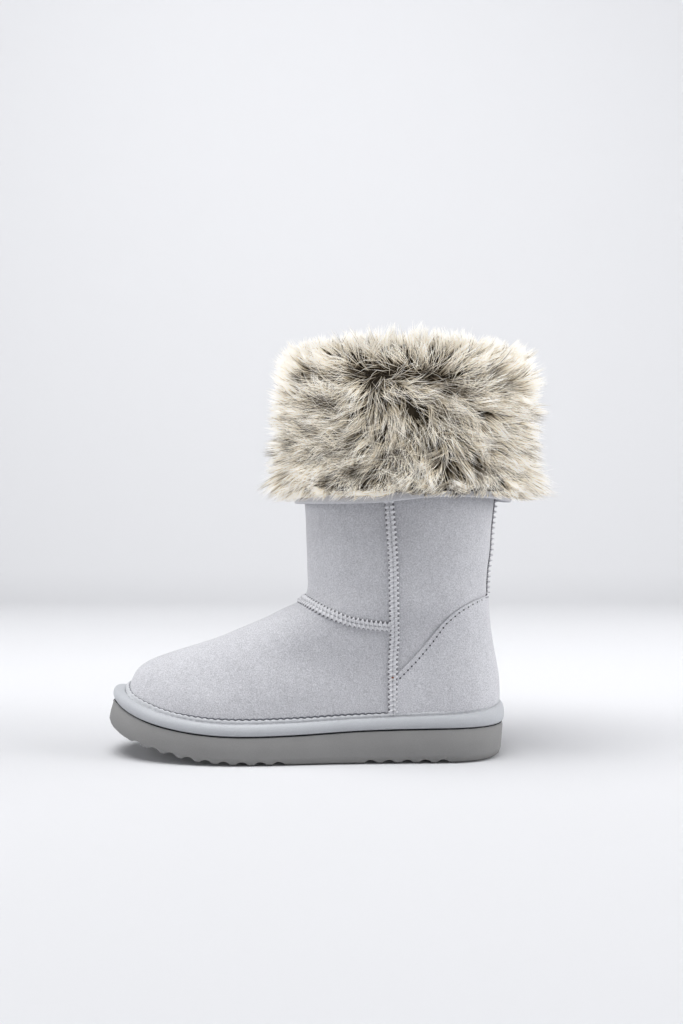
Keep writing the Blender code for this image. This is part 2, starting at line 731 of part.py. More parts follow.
for old in list(bpy.data.objects):
    bpy.data.objects.remove(old)
parts = add_collection("snow_boot")
cutters = add_collection("cutters")
suede = painted("grey_suede", (0.60, 0.60, 0.66), 0.9)
binding = painted("welt_wrap", (0.66, 0.69, 0.73), 0.7)
foam = painted("sole_foam", (0.27, 0.27, 0.26), 0.75)
fleece = painted("footbed_fleece", (0.78, 0.74, 0.66), 1.0)
fur = painted("cuff_fur", (0.62, 0.55, 0.44), 1.0)

make_outsole(foam)
make_insole(fleece)
make_upper(suede)
make_welt(binding)
make_counter(suede)
make_seams(suede)
make_hem(suede)
make_cuff(fur)
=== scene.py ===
import math

import bmesh
import bpy
import numpy as np
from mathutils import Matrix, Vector, noise
from mathutils.bvhtree import BVHTree
from mathutils.kdtree import KDTree


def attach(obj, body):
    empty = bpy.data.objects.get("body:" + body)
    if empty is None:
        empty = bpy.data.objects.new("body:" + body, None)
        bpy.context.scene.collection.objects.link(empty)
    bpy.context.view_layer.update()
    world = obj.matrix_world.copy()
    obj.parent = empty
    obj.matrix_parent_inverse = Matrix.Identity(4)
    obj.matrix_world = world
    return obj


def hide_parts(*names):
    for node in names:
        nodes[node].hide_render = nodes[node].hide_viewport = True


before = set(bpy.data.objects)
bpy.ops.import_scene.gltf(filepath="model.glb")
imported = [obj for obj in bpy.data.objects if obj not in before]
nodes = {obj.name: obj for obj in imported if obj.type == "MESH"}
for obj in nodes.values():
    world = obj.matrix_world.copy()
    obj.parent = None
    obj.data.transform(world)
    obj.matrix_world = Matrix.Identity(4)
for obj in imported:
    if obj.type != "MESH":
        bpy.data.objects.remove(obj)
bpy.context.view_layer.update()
scene = bpy.context.scene
scene.view_settings.view_transform = "Standard"

# The boot stands on z = 0 with its toe at -X and its outer side at -Y, in metres.

camera = {"place": (0.0248, -0.830, 0.1657), "turn": (math.pi / 2, 0, 0), "lens": 42.29}
studio = {
    "floorSize": 7.0,
    "wall": 1.35,
    "wallHeight": 3.0,
    "wallBend": 0.75,
    "floorStops": [(0.3, (0.705, 0.71, 0.73)), (0.7, (0.73, 0.735, 0.755))],
    "wallColour": (0.765, 0.77, 0.79, 1),
    "paler": 0.07,  # the height at which the wall has its own colour
    "worldColour": (0.86, 0.875, 0.91, 1),
    "worldStrength": 1.20,
    # place, aim, size, power
    "lights": [
        ((-0.28, -0.42, 1.85), (0, 0, 0.06), 1.3, 32.5),
        ((-1.4, -0.15, 0.42), (-0.1, 0, 0.02), 1.2, 7.6),
        ((1.5, -0.20, 0.70), (0, 0, 0.08), 1.2, 18),
        ((0.0, 0.15, 0.90), (0, 1.30, 0.80), 1.2, 2.4),
    ],
}


class Wire:
    # one socket of a material, so that a pattern is written as plain maths
    def __init__(self, socket):
        self.socket = socket

    def maths(self, operation, *others):
        return addNode(self.socket.id_data, "ShaderNodeMath", {"operation": operation}, dict(enumerate(others)))

    def __add__(self, other):
        return self.maths("ADD", self, other)

    def __sub__(self, other):
        return self.maths("SUBTRACT", self, other)

    def __rsub__(self, other):
        return self.maths("SUBTRACT", other, self)

    def __mul__(self, other):
        return self.maths("MULTIPLY", self, other)

    def __pow__(self, other):
        return self.maths("POWER", self, other)

    def __abs__(self):
        return self.maths("ABSOLUTE", self)

    __radd__ = __add__
    __rmul__ = __mul__

    def fract(self):
        return self.maths("FRACT", self)

    def clamp(self, low=0.0, high=1.0):
        return self.maths("MINIMUM", self.maths("MAXIMUM", self, low), high)

    def step(self, low, high):
        # 0 below low and 1 above high, soft between
        return addNode(
            self.socket.id_data,
            "ShaderNodeMapRange",
            {"interpolation_type": "SMOOTHSTEP"},
            {"Value": self, "From Min": low, "From Max": high},
        )


def addNode(tree, kind, settings=None, sockets=None, output=0):
    node = tree.nodes.new(kind)
    for name, value in (settings or {}).items():
        if name == "stops":
            ramp = node.color_ramp
            while len(ramp.elements) < len(value):
                ramp.elements.new(1.0)
            for element, (place, colour) in zip(ramp.elements, value):
                element.position = place
                element.color = (*colour, 1)
        else:
            setattr(node, name, value)
    for name, value in (sockets or {}).items():
        if isinstance(value, Wire):
            tree.links.new(value.socket, node.inputs[name])
        else:
            node.inputs[name].default_value = value
    return Wire(node.outputs[output])


def newMaterial(name, **fixed):
    material = bpy.data.materials.new(name)
    material.use_nodes = True
    tree = material.node_tree
    shader = tree.nodes["Principled BSDF"]
    for socket, value in fixed.items():
        shader.inputs[socket.replace("_", " ")].default_value = value
    return material, tree, shader


def feed(tree, shader, **wires):
    for socket, wire in wires.items():
        tree.links.new(wire.socket, shader.inputs[socket.replace("_", " ")])


def places(tree, scale=(1, 1, 1)):
    spot = addNode(tree, "ShaderNodeTexCoord", output="Object")
    return addNode(tree, "ShaderNodeMapping", None, {"Vector": spot, "Scale": scale})


def grain(tree, spot, scale, detail=2.0, roughness=0.5):
    return addNode(
        tree, "ShaderNodeTexNoise", None, {"Vector": spot, "Scale": scale, "Detail": detail, "Roughness": roughness}
    )


def ramp(tree, wire, *stops):
    return addNode(tree, "ShaderNodeValToRGB", {"stops": stops}, {"Fac": wire})


def blendColours(tree, share, first, second):
    return addNode(tree, "ShaderNodeMix", {"data_type": "RGBA"}, {0: share, 6: first, 7: second}, 2)


def bump(tree, height, distance, strength=1.0):
    return addNode(
        tree, "ShaderNodeBump", None, {"Height": height, "Distance": distance, "Strength": strength}, "Normal"
    )


def split(tree, wire, axis):
    return addNode(tree, "ShaderNodeSeparateXYZ", None, {"Vector": wire}, axis)


def uvSpot(tree):
    spot = addNode(tree, "ShaderNodeTexCoord", output="UV")
    return split(tree, spot, "X"), split(tree, spot, "Y")


def deselectAll():
    bpy.ops.object.select_all(action="DESELECT")


def focus(piece):
    deselectAll()
    piece.select_set(True)
    bpy.context.view_layer.objects.active = piece


def pickEdges(piece, test):
    shape = bmesh.from_edit_mesh(piece.data)
    for edge in shape.edges:
        edge.select_set(all(test(vertex.co) for vertex in edge.verts))
    bmesh.update_edit_mesh(piece.data)


def makeFloor():
    floorMaterial, tree, shader = newMaterial("paleFloor", Roughness=0.8, Specular_IOR_Level=0.1)
    spot = places(tree)
    flat = ramp(tree, grain(tree, spot, 1.2), *studio["floorStops"])
    rise = split(tree, spot, "Z").step(0.0, studio["paler"])
    feed(tree, shader, Base_Color=blendColours(tree, rise, flat, studio["wallColour"]))
    deselectAll()
    back = studio["wall"]
    bpy.ops.mesh.primitive_plane_add(size=studio["floorSize"], location=(0, back - studio["floorSize"] / 2, 0))
    floor = bpy.context.object
    floor.name = "studioFloor"
    bpy.ops.object.transform_apply(location=True)
    bpy.ops.object.mode_set(mode="EDIT")
    pickEdges(floor, lambda spot: spot.y > back - 1e-3)
    bpy.ops.mesh.extrude_region_move(TRANSFORM_OT_translate={"value": (0, 0, studio["wallHeight"])})
    pickEdges(floor, lambda spot: spot.y > back - 1e-3 and spot.z < 1e-3)
    bpy.ops.mesh.bevel(offset=studio["wallBend"], segments=24)
    bpy.ops.object.mode_set(mode="OBJECT")
    bpy.ops.object.shade_smooth()
    floor.data.materials.append(floorMaterial)


def makeStudio():
    deselectAll()
    bpy.ops.object.camera_add(location=camera["place"], rotation=camera["turn"])
    bpy.context.object.data.lens = camera["lens"]
    scene.camera = bpy.context.object
    for place, aim, size, power in studio["lights"]:
        turn = (Vector(aim) - Vector(place)).to_track_quat("-Z", "Y").to_euler()
        bpy.ops.object.light_add(type="AREA", location=place, rotation=turn)
        bpy.context.object.visible_camera = False
        light = bpy.context.object.data
        light.size = size
        light.energy = power
    world = bpy.data.worlds.new("softRoom")
    world.use_nodes = True
    air = world.node_tree.nodes["Background"]
    air.inputs["Color"].default_value = studio["worldColour"]
    air.inputs["Strength"].default_value = studio["worldStrength"]
    scene.world = world
    makeFloor()
    print("camera, floor and light are set")


# each grain: stretch in height, scale, detail, roughness, how far it moves the tone and how far it lifts the surface
looks = {
    # short nap: salt and pepper grain, soft brushed patches, and a light rim from the sheen
    "suede": {
        "shader": {"Roughness": 0.95, "Specular_IOR_Level": 0.15, "Sheen_Weight": 0.35, "Sheen_Roughness": 0.45},
        "grains": [(1, 1300, 3, 0.62, 2.1, 1), (0.55, 210, 4, 0.62, 0.30, 0.5), (1, 26, 3, 0.5, 0.18, 0)],
        "stops": [(0.12, (0.425, 0.427, 0.455)), (0.88, (0.735, 0.737, 0.770))],
        "bump": (0.00034, 0.7),
    },
    "foam": {
        "shader": {"Roughness": 0.72, "Specular_IOR_Level": 0.3},
        "grains": [(1, 1400, 2, 0.6, 0.5, 1), (1, 60, 4, 0.6, 0.5, 0)],
        "stops": [(0.2, (0.242, 0.240, 0.238)), (0.8, (0.302, 0.300, 0.297))],
        "bump": (0.00012, 0.5),
        "darkerBelow": (0.006, 0.35, (0.16, 0.155, 0.145, 1)),  # the lowest few millimetres, the tread, are a little darker than the wall above
    },
    "wrap": {
        "shader": {"Roughness": 0.7, "Specular_IOR_Level": 0.25, "Sheen_Weight": 0.15},
        "grains": [(1, 1500, 2, 0.6, 0.8, 1), (1, 45, 3, 0.5, 0.5, 0)],
        "stops": [(0.15, (0.43, 0.445, 0.47)), (0.85, (0.545, 0.56, 0.587))],
        "bump": (0.00008, 0.5),
    },
    "fleece": {
        "shader": {"Roughness": 1.0, "Specular_IOR_Level": 0.05, "Sheen_Weight": 0.6},
        "grains": [(1, 420, 4, 0.7, 0.8, 1), (1, 40, 2, 0.5, 0.3, 0)],
        "stops": [(0.25, (0.50, 0.46, 0.40)), (0.57, (0.80, 0.77, 0.71))],
        "bump": (0.0012, 0.8),
    },
    # near black: painted shade deep in the fur under the long hair
    "underFurShade": {
        "shader": {"Roughness": 0.95, "Specular_IOR_Level": 0.05},
        "grains": [(0.3, 900, 3, 0.7, 0.6, 1), (1, 70, 3, 0.5, 0.4, 0)],
        "stops": [(0.35, (0.012, 0.009, 0.006)), (0.7, (0.075, 0.060, 0.042))],
        "bump": (0.001, 0.8),
    },
}


def makeLook(name, look, lift=1.0, fleck=1.0):
    # lift makes the colours paler, fleck makes the finest grain stronger
    material, tree, shader = newMaterial(name, **look["shader"])
    tone = height = 0.0
    for stretch, scale, detail, roughness, share, rise in look["grains"]:
        layer = grain(tree, places(tree, (1, 1, stretch)), scale, detail, roughness)
        tone = (layer - 0.5) * (share * fleck) + tone
        height = layer * rise + height
        fleck = 1.0
    stops = [(place, tuple(channel * lift for channel in colour)) for place, colour in look["stops"]]
    colour = ramp(tree, tone + 0.5, *stops)
    # the lowest few millimetres are blended towards a darker colour
    if "darkerBelow" in look:
        top, share, lowColour = look["darkerBelow"]
        low = 1 - split(tree, places(tree), "Z").step(0.0, top)
        colour = blendColours(tree, low * share, colour, lowColour)
    feed(tree, shader, Base_Color=colour, Normal=bump(tree, height, *look["bump"]))
    return material


furLook = {
    # hair colours from the skin to the tip, for a dark, a golden and a pale hair; the near-black roots are partly the
    # hair's own darker base and partly painted shade deep in the coat
    "dark": [
        (0.0, (0.008, 0.006, 0.004)), (0.5, (0.022, 0.017, 0.011)),
        (0.8, (0.09, 0.066, 0.040)), (1.0, (0.40, 0.33, 0.24)),
    ],
    "golden": [
        (0.0, (0.02, 0.015, 0.009)), (0.32, (0.11, 0.08, 0.045)),
        (0.6, (0.60, 0.51, 0.36)), (1.0, (0.94, 0.91, 0.84)),
    ],
    "pale": [
        (0.0, (0.04, 0.032, 0.022)), (0.28, (0.24, 0.19, 0.13)), (0.5, (0.80, 0.745, 0.635)),
        (0.75, (0.96, 0.945, 0.91)), (1.0, (0.98, 0.975, 0.96)),
    ],
    "through": 0.32,  # how much light pale tips let through, and its colour
    "throughColour": (1.0, 0.972, 0.915, 1),
    "glow": 0.42,  # stands for light that has gone from hair to hair
    # painted shade: the top of the cuff stands in the lamp, so its hair is painted a little darker between these
    # heights
    "rimLow": 0.258,
    "rimHigh": 0.284,
    "rimShadeShare": 0.25,
    "rimShadeColour": (0.36, 0.345, 0.315, 1),
}


def makeFur():
    # every hair has its own spot on the UV map: across is its tone and up runs from root to tip
    material, tree, shader = newMaterial("cuffFur", Roughness=0.55, Specular_IOR_Level=0.3, Sheen_Weight=0.1)
    look = furLook
    tone, along = uvSpot(tree)
    dark, golden, pale = (ramp(tree, along, *look[name]) for name in ("dark", "golden", "pale"))
    low = blendColours(tree, (tone * 2.0).clamp(), dark, golden)
    colour = blendColours(tree, (tone * 2.0 - 1.0).clamp(), low, pale)
    # painted shade: hair at the top of the cuff is blended towards a darker colour
    rim = split(tree, places(tree), "Z").step(look["rimLow"], look["rimHigh"]) * look["rimShadeShare"]
    colour = blendColours(tree, rim, colour, look["rimShadeColour"])
    lit = blendColours(tree, tone.clamp(), (0, 0, 0, 1), colour)
    feed(tree, shader, Base_Color=colour, Emission_Color=lit)
    shader.inputs["Emission Strength"].default_value = look["glow"]
    through = addNode(tree, "ShaderNodeBsdfTranslucent", sockets={"Color": look["throughColour"]})
    share = (tone * along * look["through"]).clamp()
    mixed = addNode(tree, "ShaderNodeMixShader", sockets={0: share, 1: Wire(shader.outputs[0]), 2: through})
    tree.links.new(mixed.socket, tree.nodes["Material Output"].inputs["Surface"])
    return material


def makePlain(name, colour, roughness=0.9):
    material, tree, shader = newMaterial(name, Roughness=roughness, Specular_IOR_Level=0.1)
    tone = grain(tree, places(tree), 2500, 2.0)
    dull = tuple(channel * 0.8 for channel in colour)
    feed(tree, shader, Base_Color=ramp(tree, tone, (0.3, dull), (0.7, colour)))
    return material


def copyOfNode(node, name, levels):
    # the CAD solid's own mesh, welded into quads and smoothed
    piece = bpy.data.objects.new(name, nodes[node].data.copy())
    scene.collection.objects.link(piece)
    piece.data.materials.clear()
    focus(piece)
    bpy.ops.object.mode_set(mode="EDIT")
    bpy.ops.mesh.select_all(action="SELECT")
    bpy.ops.mesh.remove_doubles(threshold=1e-5)
    bpy.ops.mesh.tris_convert_to_quads(face_threshold=math.radians(50), shape_threshold=math.radians(60))
    bpy.ops.object.mode_set(mode="OBJECT")
    if levels:
        rounding = piece.modifiers.new("rounding", "SUBSURF")
        rounding.levels = rounding.render_levels = levels
        bpy.ops.object.modifier_apply(modifier="rounding")
    bpy.ops.object.shade_smooth_by_angle(angle=math.radians(40))
    return piece


def vectorsOf(rows, name):
    flat = np.empty(len(rows) * 3)
    rows.foreach_get(name, flat)
    return flat.reshape(-1, 3)


def pointsOf(piece):
    return vectorsOf(piece.data.vertices, "co")


def normalsOf(piece):
    return vectorsOf(piece.data.vertex_normals, "vector")


def unit(vectors):
    return vectors / np.maximum(np.linalg.norm(vectors, axis=1), 1e-9)[:, None]


def distances(points):
    return np.concatenate([[0], np.cumsum(np.linalg.norm(np.diff(points, axis=0), axis=1))])


def repeated(pattern, count, corners):
    # the same faces for each of the copies, which have so many corners
    pattern = np.array(pattern)
    return (pattern[None] + np.arange(count)[:, None, None] * corners).reshape(-1, pattern.shape[1])


def lumpsAt(points, scale):
    return np.array([noise.noise(Vector(point) * scale) for point in points])


def setPoints(piece, points):
    piece.data.vertices.foreach_set("co", np.ascontiguousarray(points, dtype=np.float32).ravel())
    piece.data.update()


def finish(piece, material, slot, *standsFor):
    piece.data.materials.clear()
    piece.data.materials.append(material)
    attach(piece, "root")
    if standsFor:
        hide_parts(*standsFor)
    return piece


def joinedMesh(name, points, faces, uv=None):
    # one mesh from arrays: faces are rows of the same number of corners
    mesh = bpy.data.meshes.new(name)
    count, corners = faces.shape
    mesh.vertices.add(len(points))
    mesh.vertices.foreach_set("co", np.ascontiguousarray(points, dtype=np.float32).ravel())
    mesh.loops.add(count * corners)
    mesh.loops.foreach_set("vertex_index", np.ascontiguousarray(faces, dtype=np.int32).ravel())
    mesh.polygons.add(count)
    mesh.polygons.foreach_set("loop_start", np.arange(count, dtype=np.int32) * corners)
    mesh.polygons.foreach_set("use_smooth", np.ones(count, dtype=bool))
    if uv is not None:
        layer = mesh.uv_layers.new(name="UVMap")
        layer.data.foreach_set("uv", np.ascontiguousarray(uv[faces.ravel()], dtype=np.float32).ravel())
    mesh.update(calc_edges=True)
    piece = bpy.data.objects.new(name, mesh)
    scene.collection.objects.link(piece)
    return piece


# soft troughs pressed into the suede: x and z of the two ends, width, depth, and which side (0 is both)
upperCreases = {
    "troughs": [
        (0.010, 0.122, 0.046, 0.112, 0.0075, 0.0007, 0),
        (0.016, 0.140, 0.060, 0.136, 0.0090, 0.0005, -1),
        (0.086, 0.120, 0.122, 0.128, 0.0080, 0.0006, 0),
        (0.082, 0.142, 0.120, 0.150, 0.0090, 0.0005, -1),
        (-0.020, 0.072, 0.016, 0.060, 0.0110, 0.0006, 0),
        (-0.070, 0.058, -0.030, 0.047, 0.0120, 0.0005, -1),
        (0.020, 0.066, 0.050, 0.052, 0.0100, 0.0005, 1),
        (0.078, 0.060, 0.110, 0.052, 0.0100, 0.0004, 0),
        (-0.100, 0.052, -0.070, 0.040, 0.0100, 0.0004, 1),
    ],
    "lumpScale": 48.0,
    "fade": 0.35,  # what is left of a trough's depth at its two ends
    "bank": (1.7, 0.45),  # the raised bank beside a trough: how many widths away, and its share of the depth
    "lumpHeight": 0.0005,
}


def pressCreases(piece):
    points, normals = pointsOf(piece), normalsOf(piece)
    outward = np.sign(normals[:, 1]) == np.sign(points[:, 1])
    away, height = upperCreases["bank"]
    shift = np.zeros(len(points))
    for x1, z1, x2, z2, width, depth, side in upperCreases["troughs"]:
        run = np.array([x2 - x1, z2 - z1])
        reach = points[:, [0, 2]] - np.array([x1, z1])
        share = np.clip(reach @ run / (run @ run), 0, 1)
        gap = np.linalg.norm(reach - share[:, None] * run, axis=1) / width
        fade = upperCreases["fade"] + (1 - upperCreases["fade"]) * np.sin(math.pi * share)
        mask = outward & ((side == 0) | (np.sign(points[:, 1]) == side))
        shift += mask * fade * depth * (height * np.exp(-((gap - away) ** 2)) - np.exp(-(gap**2)))
    shift += upperCreases["lumpHeight"] * lumpsAt(points, upperCreases["lumpScale"])
    setPoints(piece, points + normals * shift[:, None])


# lift: the counter's suede is made paler than the upper's, painted light where the lamp falls on the heel
counterTuck = {"forward": 0.0014, "over": 0.009, "lift": 1.06}


def makeUpper(suedeMaterial):
    upper = copyOfNode("upper", "upperSuede", 2)
    pressCreases(upper)
    finish(upper, suedeMaterial, "grey_suede", "upper")
    counter = copyOfNode("heel_counter", "heelCounter", 2)
    # its front edge is drawn forward until it lies under the side strip
    points = pointsOf(counter)
    front = points[:, 0].min()
    pull = np.clip(1 - (points[:, 0] - front) / counterTuck["over"], 0, 1)
    moved = points - np.stack([pull * counterTuck["forward"], pull * 0, pull * 0], axis=1)
    skin = skinOf(upper)
    for i in np.flatnonzero(pull > 0):
        before = np.array(skin.find_nearest(Vector(points[i]))[0])
        after = np.array(skin.find_nearest(Vector(moved[i]))[0])
        moved[i, 1:] = after[1:] + points[i, 1:] - before[1:]
    setPoints(counter, moved)
    finish(counter, makeLook("counterSuedePaintedLight", looks["suede"], counterTuck["lift"]), "grey_suede", "heel_counter")
    print("upper and heel counter are dressed")
    return upper, counter


footbedPile = 0.0012


def makeSole(foam, wrap, fleece):
    sole = copyOfNode("outsole", "moulded_sole", 0)
    finish(sole, foam, "sole_foam", "outsole")
    welt = copyOfNode("welt", "weltBand", 2)
    finish(welt, wrap, "welt_wrap", "welt")
    footbed = copyOfNode("insole", "footbed", 2)
    points, normals = pointsOf(footbed), normalsOf(footbed)
    pile = (normals[:, 2] > 0.3) * lumpsAt(points, 160) * footbedPile  # only its upper face
    setPoints(footbed, points + normals * pile[:, None])
    finish(footbed, fleece, "footbed_fleece", "insole")
    print("sole, band and footbed are dressed")
    return sole, welt


sideStrip = {
    "trail": [
        (0.0554, 0.1770), (0.0571, 0.155), (0.0585, 0.134), (0.0590, 0.110), (0.0593, 0.096),
        (0.0597, 0.082), (0.0586, 0.070), (0.0586, 0.050), (0.0588, 0.0318),
    ],
    "width": 0.0068,
    "rise": 0.0022,
    "pitch": 0.0033,
    "lean": 0.4,
    "rope": 0.5,
    "pinch": 0.13,
}
vampStrip = {
    # the strip's x and height, from the front round to the side strip
    "heights": [(0.0003, 0.1057), (0.0152, 0.0989), (0.0297, 0.0933), (0.0428, 0.0909), (0.0566, 0.0897)],
    "reach": 100,  # degrees from the front, seen from the shaft's middle
    "end": 0.0572,  # it stops at the side strip
    "width": 0.0070,
    "rise": 0.0020,
    "pitch": 0.0030,
    "lean": 0.7,
    "rope": 0.42,
    "pinch": 0.15,
}
backStrip = {
    "low": 0.1105,
    "high": 0.1770,
    "width": 0.0070,
    "rise": 0.0029,
    "pitch": 0.0038,
    "lean": 0.0,
    "rope": 0.75,
    "pinch": 0.12,
}
weltLip = {"width": 0.0037, "rise": 0.0019, "pitch": 0.0045, "lean": 0.4, "rope": 0.25, "pinch": 0.16}
stripEdge = {"sink": 0.0004, "backing": 0.0006}
ropeColumns = [-1, -0.97, -0.88, -0.7, -0.48, -0.24, -0.08, 0.08, 0.24, 0.48, 0.7, 0.88, 0.97, 1]
lipColumns = [-1, -0.9, -0.5, 0, 0.5, 0.85, 0.97, 1]


def evenly(points, step):
    # the same trail with a point every step
    points = np.array(points)
    lengths = distances(points)
    count = max(int(lengths[-1] / step), 2)
    spots = np.linspace(0, lengths[-1], count + 1)
    return np.stack([np.interp(spots, lengths, points[:, axis]) for axis in range(points.shape[1])], axis=1)


def smoothTrail(points, rounds=60):
    for _ in range(rounds):
        points[1:-1] = points[1:-1] * 0.5 + (points[:-2] + points[2:]) * 0.25
    return points


def cast(skin, start, aim):
    hit, normal, _, _ = skin.ray_cast(Vector(start), Vector(aim).normalized())
    return hit, normal


def layStrip(name, trail, skin, shape, step=0.00045, columns=ropeColumns):
    # a ribbon on the skin with two puffed ropes, its edges drawn in at each stitch
    trail = smoothTrail(evenly(trail, step))
    ahead = unit(np.gradient(trail, axis=0))
    distance = distances(trail)
    across = len(columns)
    deselectAll()
    bpy.ops.mesh.primitive_grid_add(x_subdivisions=across - 1, y_subdivisions=len(trail) - 1, size=1)
    strip = bpy.context.object
    strip.name = name
    points = np.zeros((len(trail) * across, 3))
    count = round(distance[-1] / shape["pitch"])
    for i, point in enumerate(trail):
        hit, normal, _, _ = skin.find_nearest(Vector(point))
        side = Vector(ahead[i]).cross(normal).normalized()
        phase = distance[i] / distance[-1] * count
        pinch = 1 + shape["pinch"] * math.cos(2 * math.pi * (phase - shape["lean"]))
        for j, v in enumerate(columns):
            spot = hit + side * (v * shape["width"] / 2 * pinch)
            ground, up, _, _ = skin.find_nearest(spot)
            puff = min(1.0, 1.5 * math.sin(math.pi * abs(v)) + 0.8 * max(abs(v) - 0.7, 0))
            rope = 1 - shape["rope"] * (0.5 - 0.5 * math.cos(2 * math.pi * (phase - shape["lean"] * abs(v))))
            edge = (1 - abs(v) ** 9) ** 0.5
            height = shape["rise"] * (0.4 + 0.6 * puff) * rope * edge - stripEdge["sink"] * (1 - edge)
            points[i * across + j] = ground + up * height
    setPoints(strip, points)
    layer = strip.data.uv_layers[0].data
    for loop in strip.data.loops:
        i, j = divmod(loop.vertex_index, across)
        layer[loop.index].uv = (i / (len(trail) - 1), columns[j] / 2 + 0.5)
    focus(strip)
    backing = strip.modifiers.new("backing", "SOLIDIFY")
    backing.thickness = stripEdge["backing"]
    backing.offset = -1
    bpy.ops.object.modifier_apply(modifier="backing")
    bpy.ops.object.shade_smooth()
    return strip, count


stripSuede = {
    "low": (0.64, 0.64, 0.67),
    "high": (0.93, 0.93, 0.96),
    "shade": (0.05, 0.05, 0.062, 1),
    # rows of needle holes: place across the strip, radius, and slip along it in stitches
    "holes": [(0.02, 0.0011, 0.0), (0.98, 0.0011, 0.0), (0.5, 0.0003, 0.5)],
    # how dark the holes, the painted shade in the folds between puffs, the strip's edges (the sunk thread and painted
    # shade where the strip meets the upper) and the middle stitch with the painted shade of its groove are
    "dark": (0.85, 0.36, 0.62, 0.15),
}


def makeStripSuede(name, count, shape):
    # the same suede, pressed flat and paler, with needle holes along both edges and beside the middle stitch, and
    # painted shade in the folds between puffs, along the edges and in the middle groove
    material, tree, shader = newMaterial(name, Roughness=0.9, Specular_IOR_Level=0.15, Sheen_Weight=0.3)
    along, across = uvSpot(tree)
    fine = grain(tree, places(tree), 1300, 3.0, 0.6)
    base = ramp(tree, fine, (0.25, stripSuede["low"]), (0.75, stripSuede["high"]))
    phase = along * float(count)
    holes = 0.0
    for place, size, slip in stripSuede["holes"]:
        near = abs((phase - (shape["lean"] + slip) + 4).fract() - 0.5) * shape["pitch"]
        beside = abs(across - place) * shape["width"]
        holes = 1 - ((near * near + beside * beside) ** 0.5).step(size * 0.55, size * 1.15) + holes
    holes = holes.clamp()
    # painted shade: darker in the folds between puffs, along the edges where the strip meets the upper (with the sunk
    # thread there) and in the middle groove beside the stitch
    puff = abs((phase - shape["lean"] * across + 8).fract() - 0.5) * 2.0
    rim = (abs(across - 0.5) * 2.0).step(0.9, 1.0)
    line = 1 - (abs(across - 0.5) * shape["width"]).step(0.0001, 0.0005)
    shade = sum(mask * dark for mask, dark in zip((holes, puff.step(0.6, 1.0), rim, line), stripSuede["dark"]))
    feed(
        tree,
        shader,
        Base_Color=blendColours(tree, shade.clamp(0.0, 0.92), base, stripSuede["shade"]),
        Normal=bump(tree, fine * 0.25 - holes, 0.0003, 0.6),
    )
    return material


def sew(word, side, trail, skin, shape, node):
    strip, count = layStrip(word + "Seam" + side, trail, skin, shape)
    finish(strip, makeStripSuede(f"{word}SeamSuede{side}", count, shape), "grey_suede", node)


def makeStrips(upper):
    skin = skinOf(upper)
    for word, side in (("outer", -1), ("inner", 1)):
        points = evenly(sideStrip["trail"], 0.004)
        trail = [cast(skin, (x, side * 0.2, z), (0, -side, 0))[0] for x, z in points]
        sew("side", "_" + word, trail, skin, sideStrip, f"side_seam_{word}")
    middle = Vector((0.064, 0, 0))
    xs, zs = zip(*vampStrip["heights"])
    trail = []
    for degrees in np.linspace(-vampStrip["reach"], vampStrip["reach"], 61):
        way = Vector((-math.cos(math.radians(degrees)), -math.sin(math.radians(degrees)), 0))
        z = zs[0]
        for _ in range(6):  # closing in on the height that the strip has at this x
            hit, _ = cast(skin, middle + way * 0.2 + Vector((0, 0, z)), -way)
            z = 0.5 * z + 0.5 * float(np.interp(hit.x, xs, zs))
        if hit.x < vampStrip["end"]:
            trail.append(hit)
    sew("vamp", "", trail, skin, vampStrip, "vamp_seam")
    heights = np.linspace(backStrip["high"], backStrip["low"], 18)
    trail = [cast(skin, (0.3, 0, z), (-1, 0, 0))[0] for z in heights]
    sew("back", "", trail, skin, backStrip, "back_seam")
    print("seam strips are sewn on")


def skinOf(*pieces):
    points, faces = [], []
    for piece in pieces:
        faces += [[corner + len(points) for corner in face.vertices] for face in piece.data.polygons]
        points += [tuple(vertex.co) for vertex in piece.data.vertices]
    return BVHTree.FromPolygons(points, faces)


def edgeRing(piece, rank, count=160):
    # one point of a ring-shaped piece for each direction, the one that ranks highest
    points = pointsOf(piece)
    turn = np.arctan2(points[:, 1] / 0.05, points[:, 0] / 0.13)
    bins = ((turn / (2 * math.pi) + 0.5) * count).astype(int) % count
    score = rank(points)
    ring = []
    for part in range(count):
        here = np.flatnonzero(bins == part)
        if len(here):
            ring.append(points[here[np.argmax(score[here])]])
    return np.array(ring + ring[:3])


def topRim(points):
    # the farthest out of those near the height of the sole's top
    reach = np.hypot(points[:, 0] - np.clip(points[:, 0], -0.09, 0.09), points[:, 1])
    level = np.interp(points[:, 0], *soleTop(points))
    return reach - np.abs(points[:, 2] - level) * 12


def soleTop(points):
    # the height of the sole's top at stations along its length
    stations = np.linspace(points[:, 0].min(), points[:, 0].max(), 24)
    levels = []
    for place in stations:
        near = np.abs(points[:, 0] - place) < 0.012
        levels.append(points[near, 2].max())
    return stations, levels


lipStitchAndShadow = {
    "above": 0.0017,
    "pitch": 0.0045,
    "wave": 0.0003,
    "colour": (0.12, 0.125, 0.145),
    # x from toe to heel, and the dark cord's radius there: thick in the middle, where it is painted shadow in the
    # groove above the band, and thin where it is only the thread
    "stations": [-0.135, -0.115, -0.09, -0.05, 0.03, 0.07, 0.11],
    "radii": [0.00008, 0.00024, 0.00040, 0.00080, 0.00080, 0.00030, 0.00014],
}


def tube(name, points, widths, material, slot):
    # a round cord through the points, as thick as widths says
    deselectAll()
    bpy.ops.curve.primitive_bezier_circle_add(radius=0.1)
    cord = bpy.context.object
    cord.name = name
    cord.data.splines.clear()
    path = cord.data.splines.new("POLY")
    path.points.add(len(points) - 1)
    for spot, place, width in zip(path.points, points, widths):
        spot.co = (*place, 1)
        spot.radius = width
    cord.data.bevel_depth = 1.0
    cord.data.bevel_resolution = 1
    bpy.ops.object.convert(target="MESH")
    return finish(cord, material, slot)


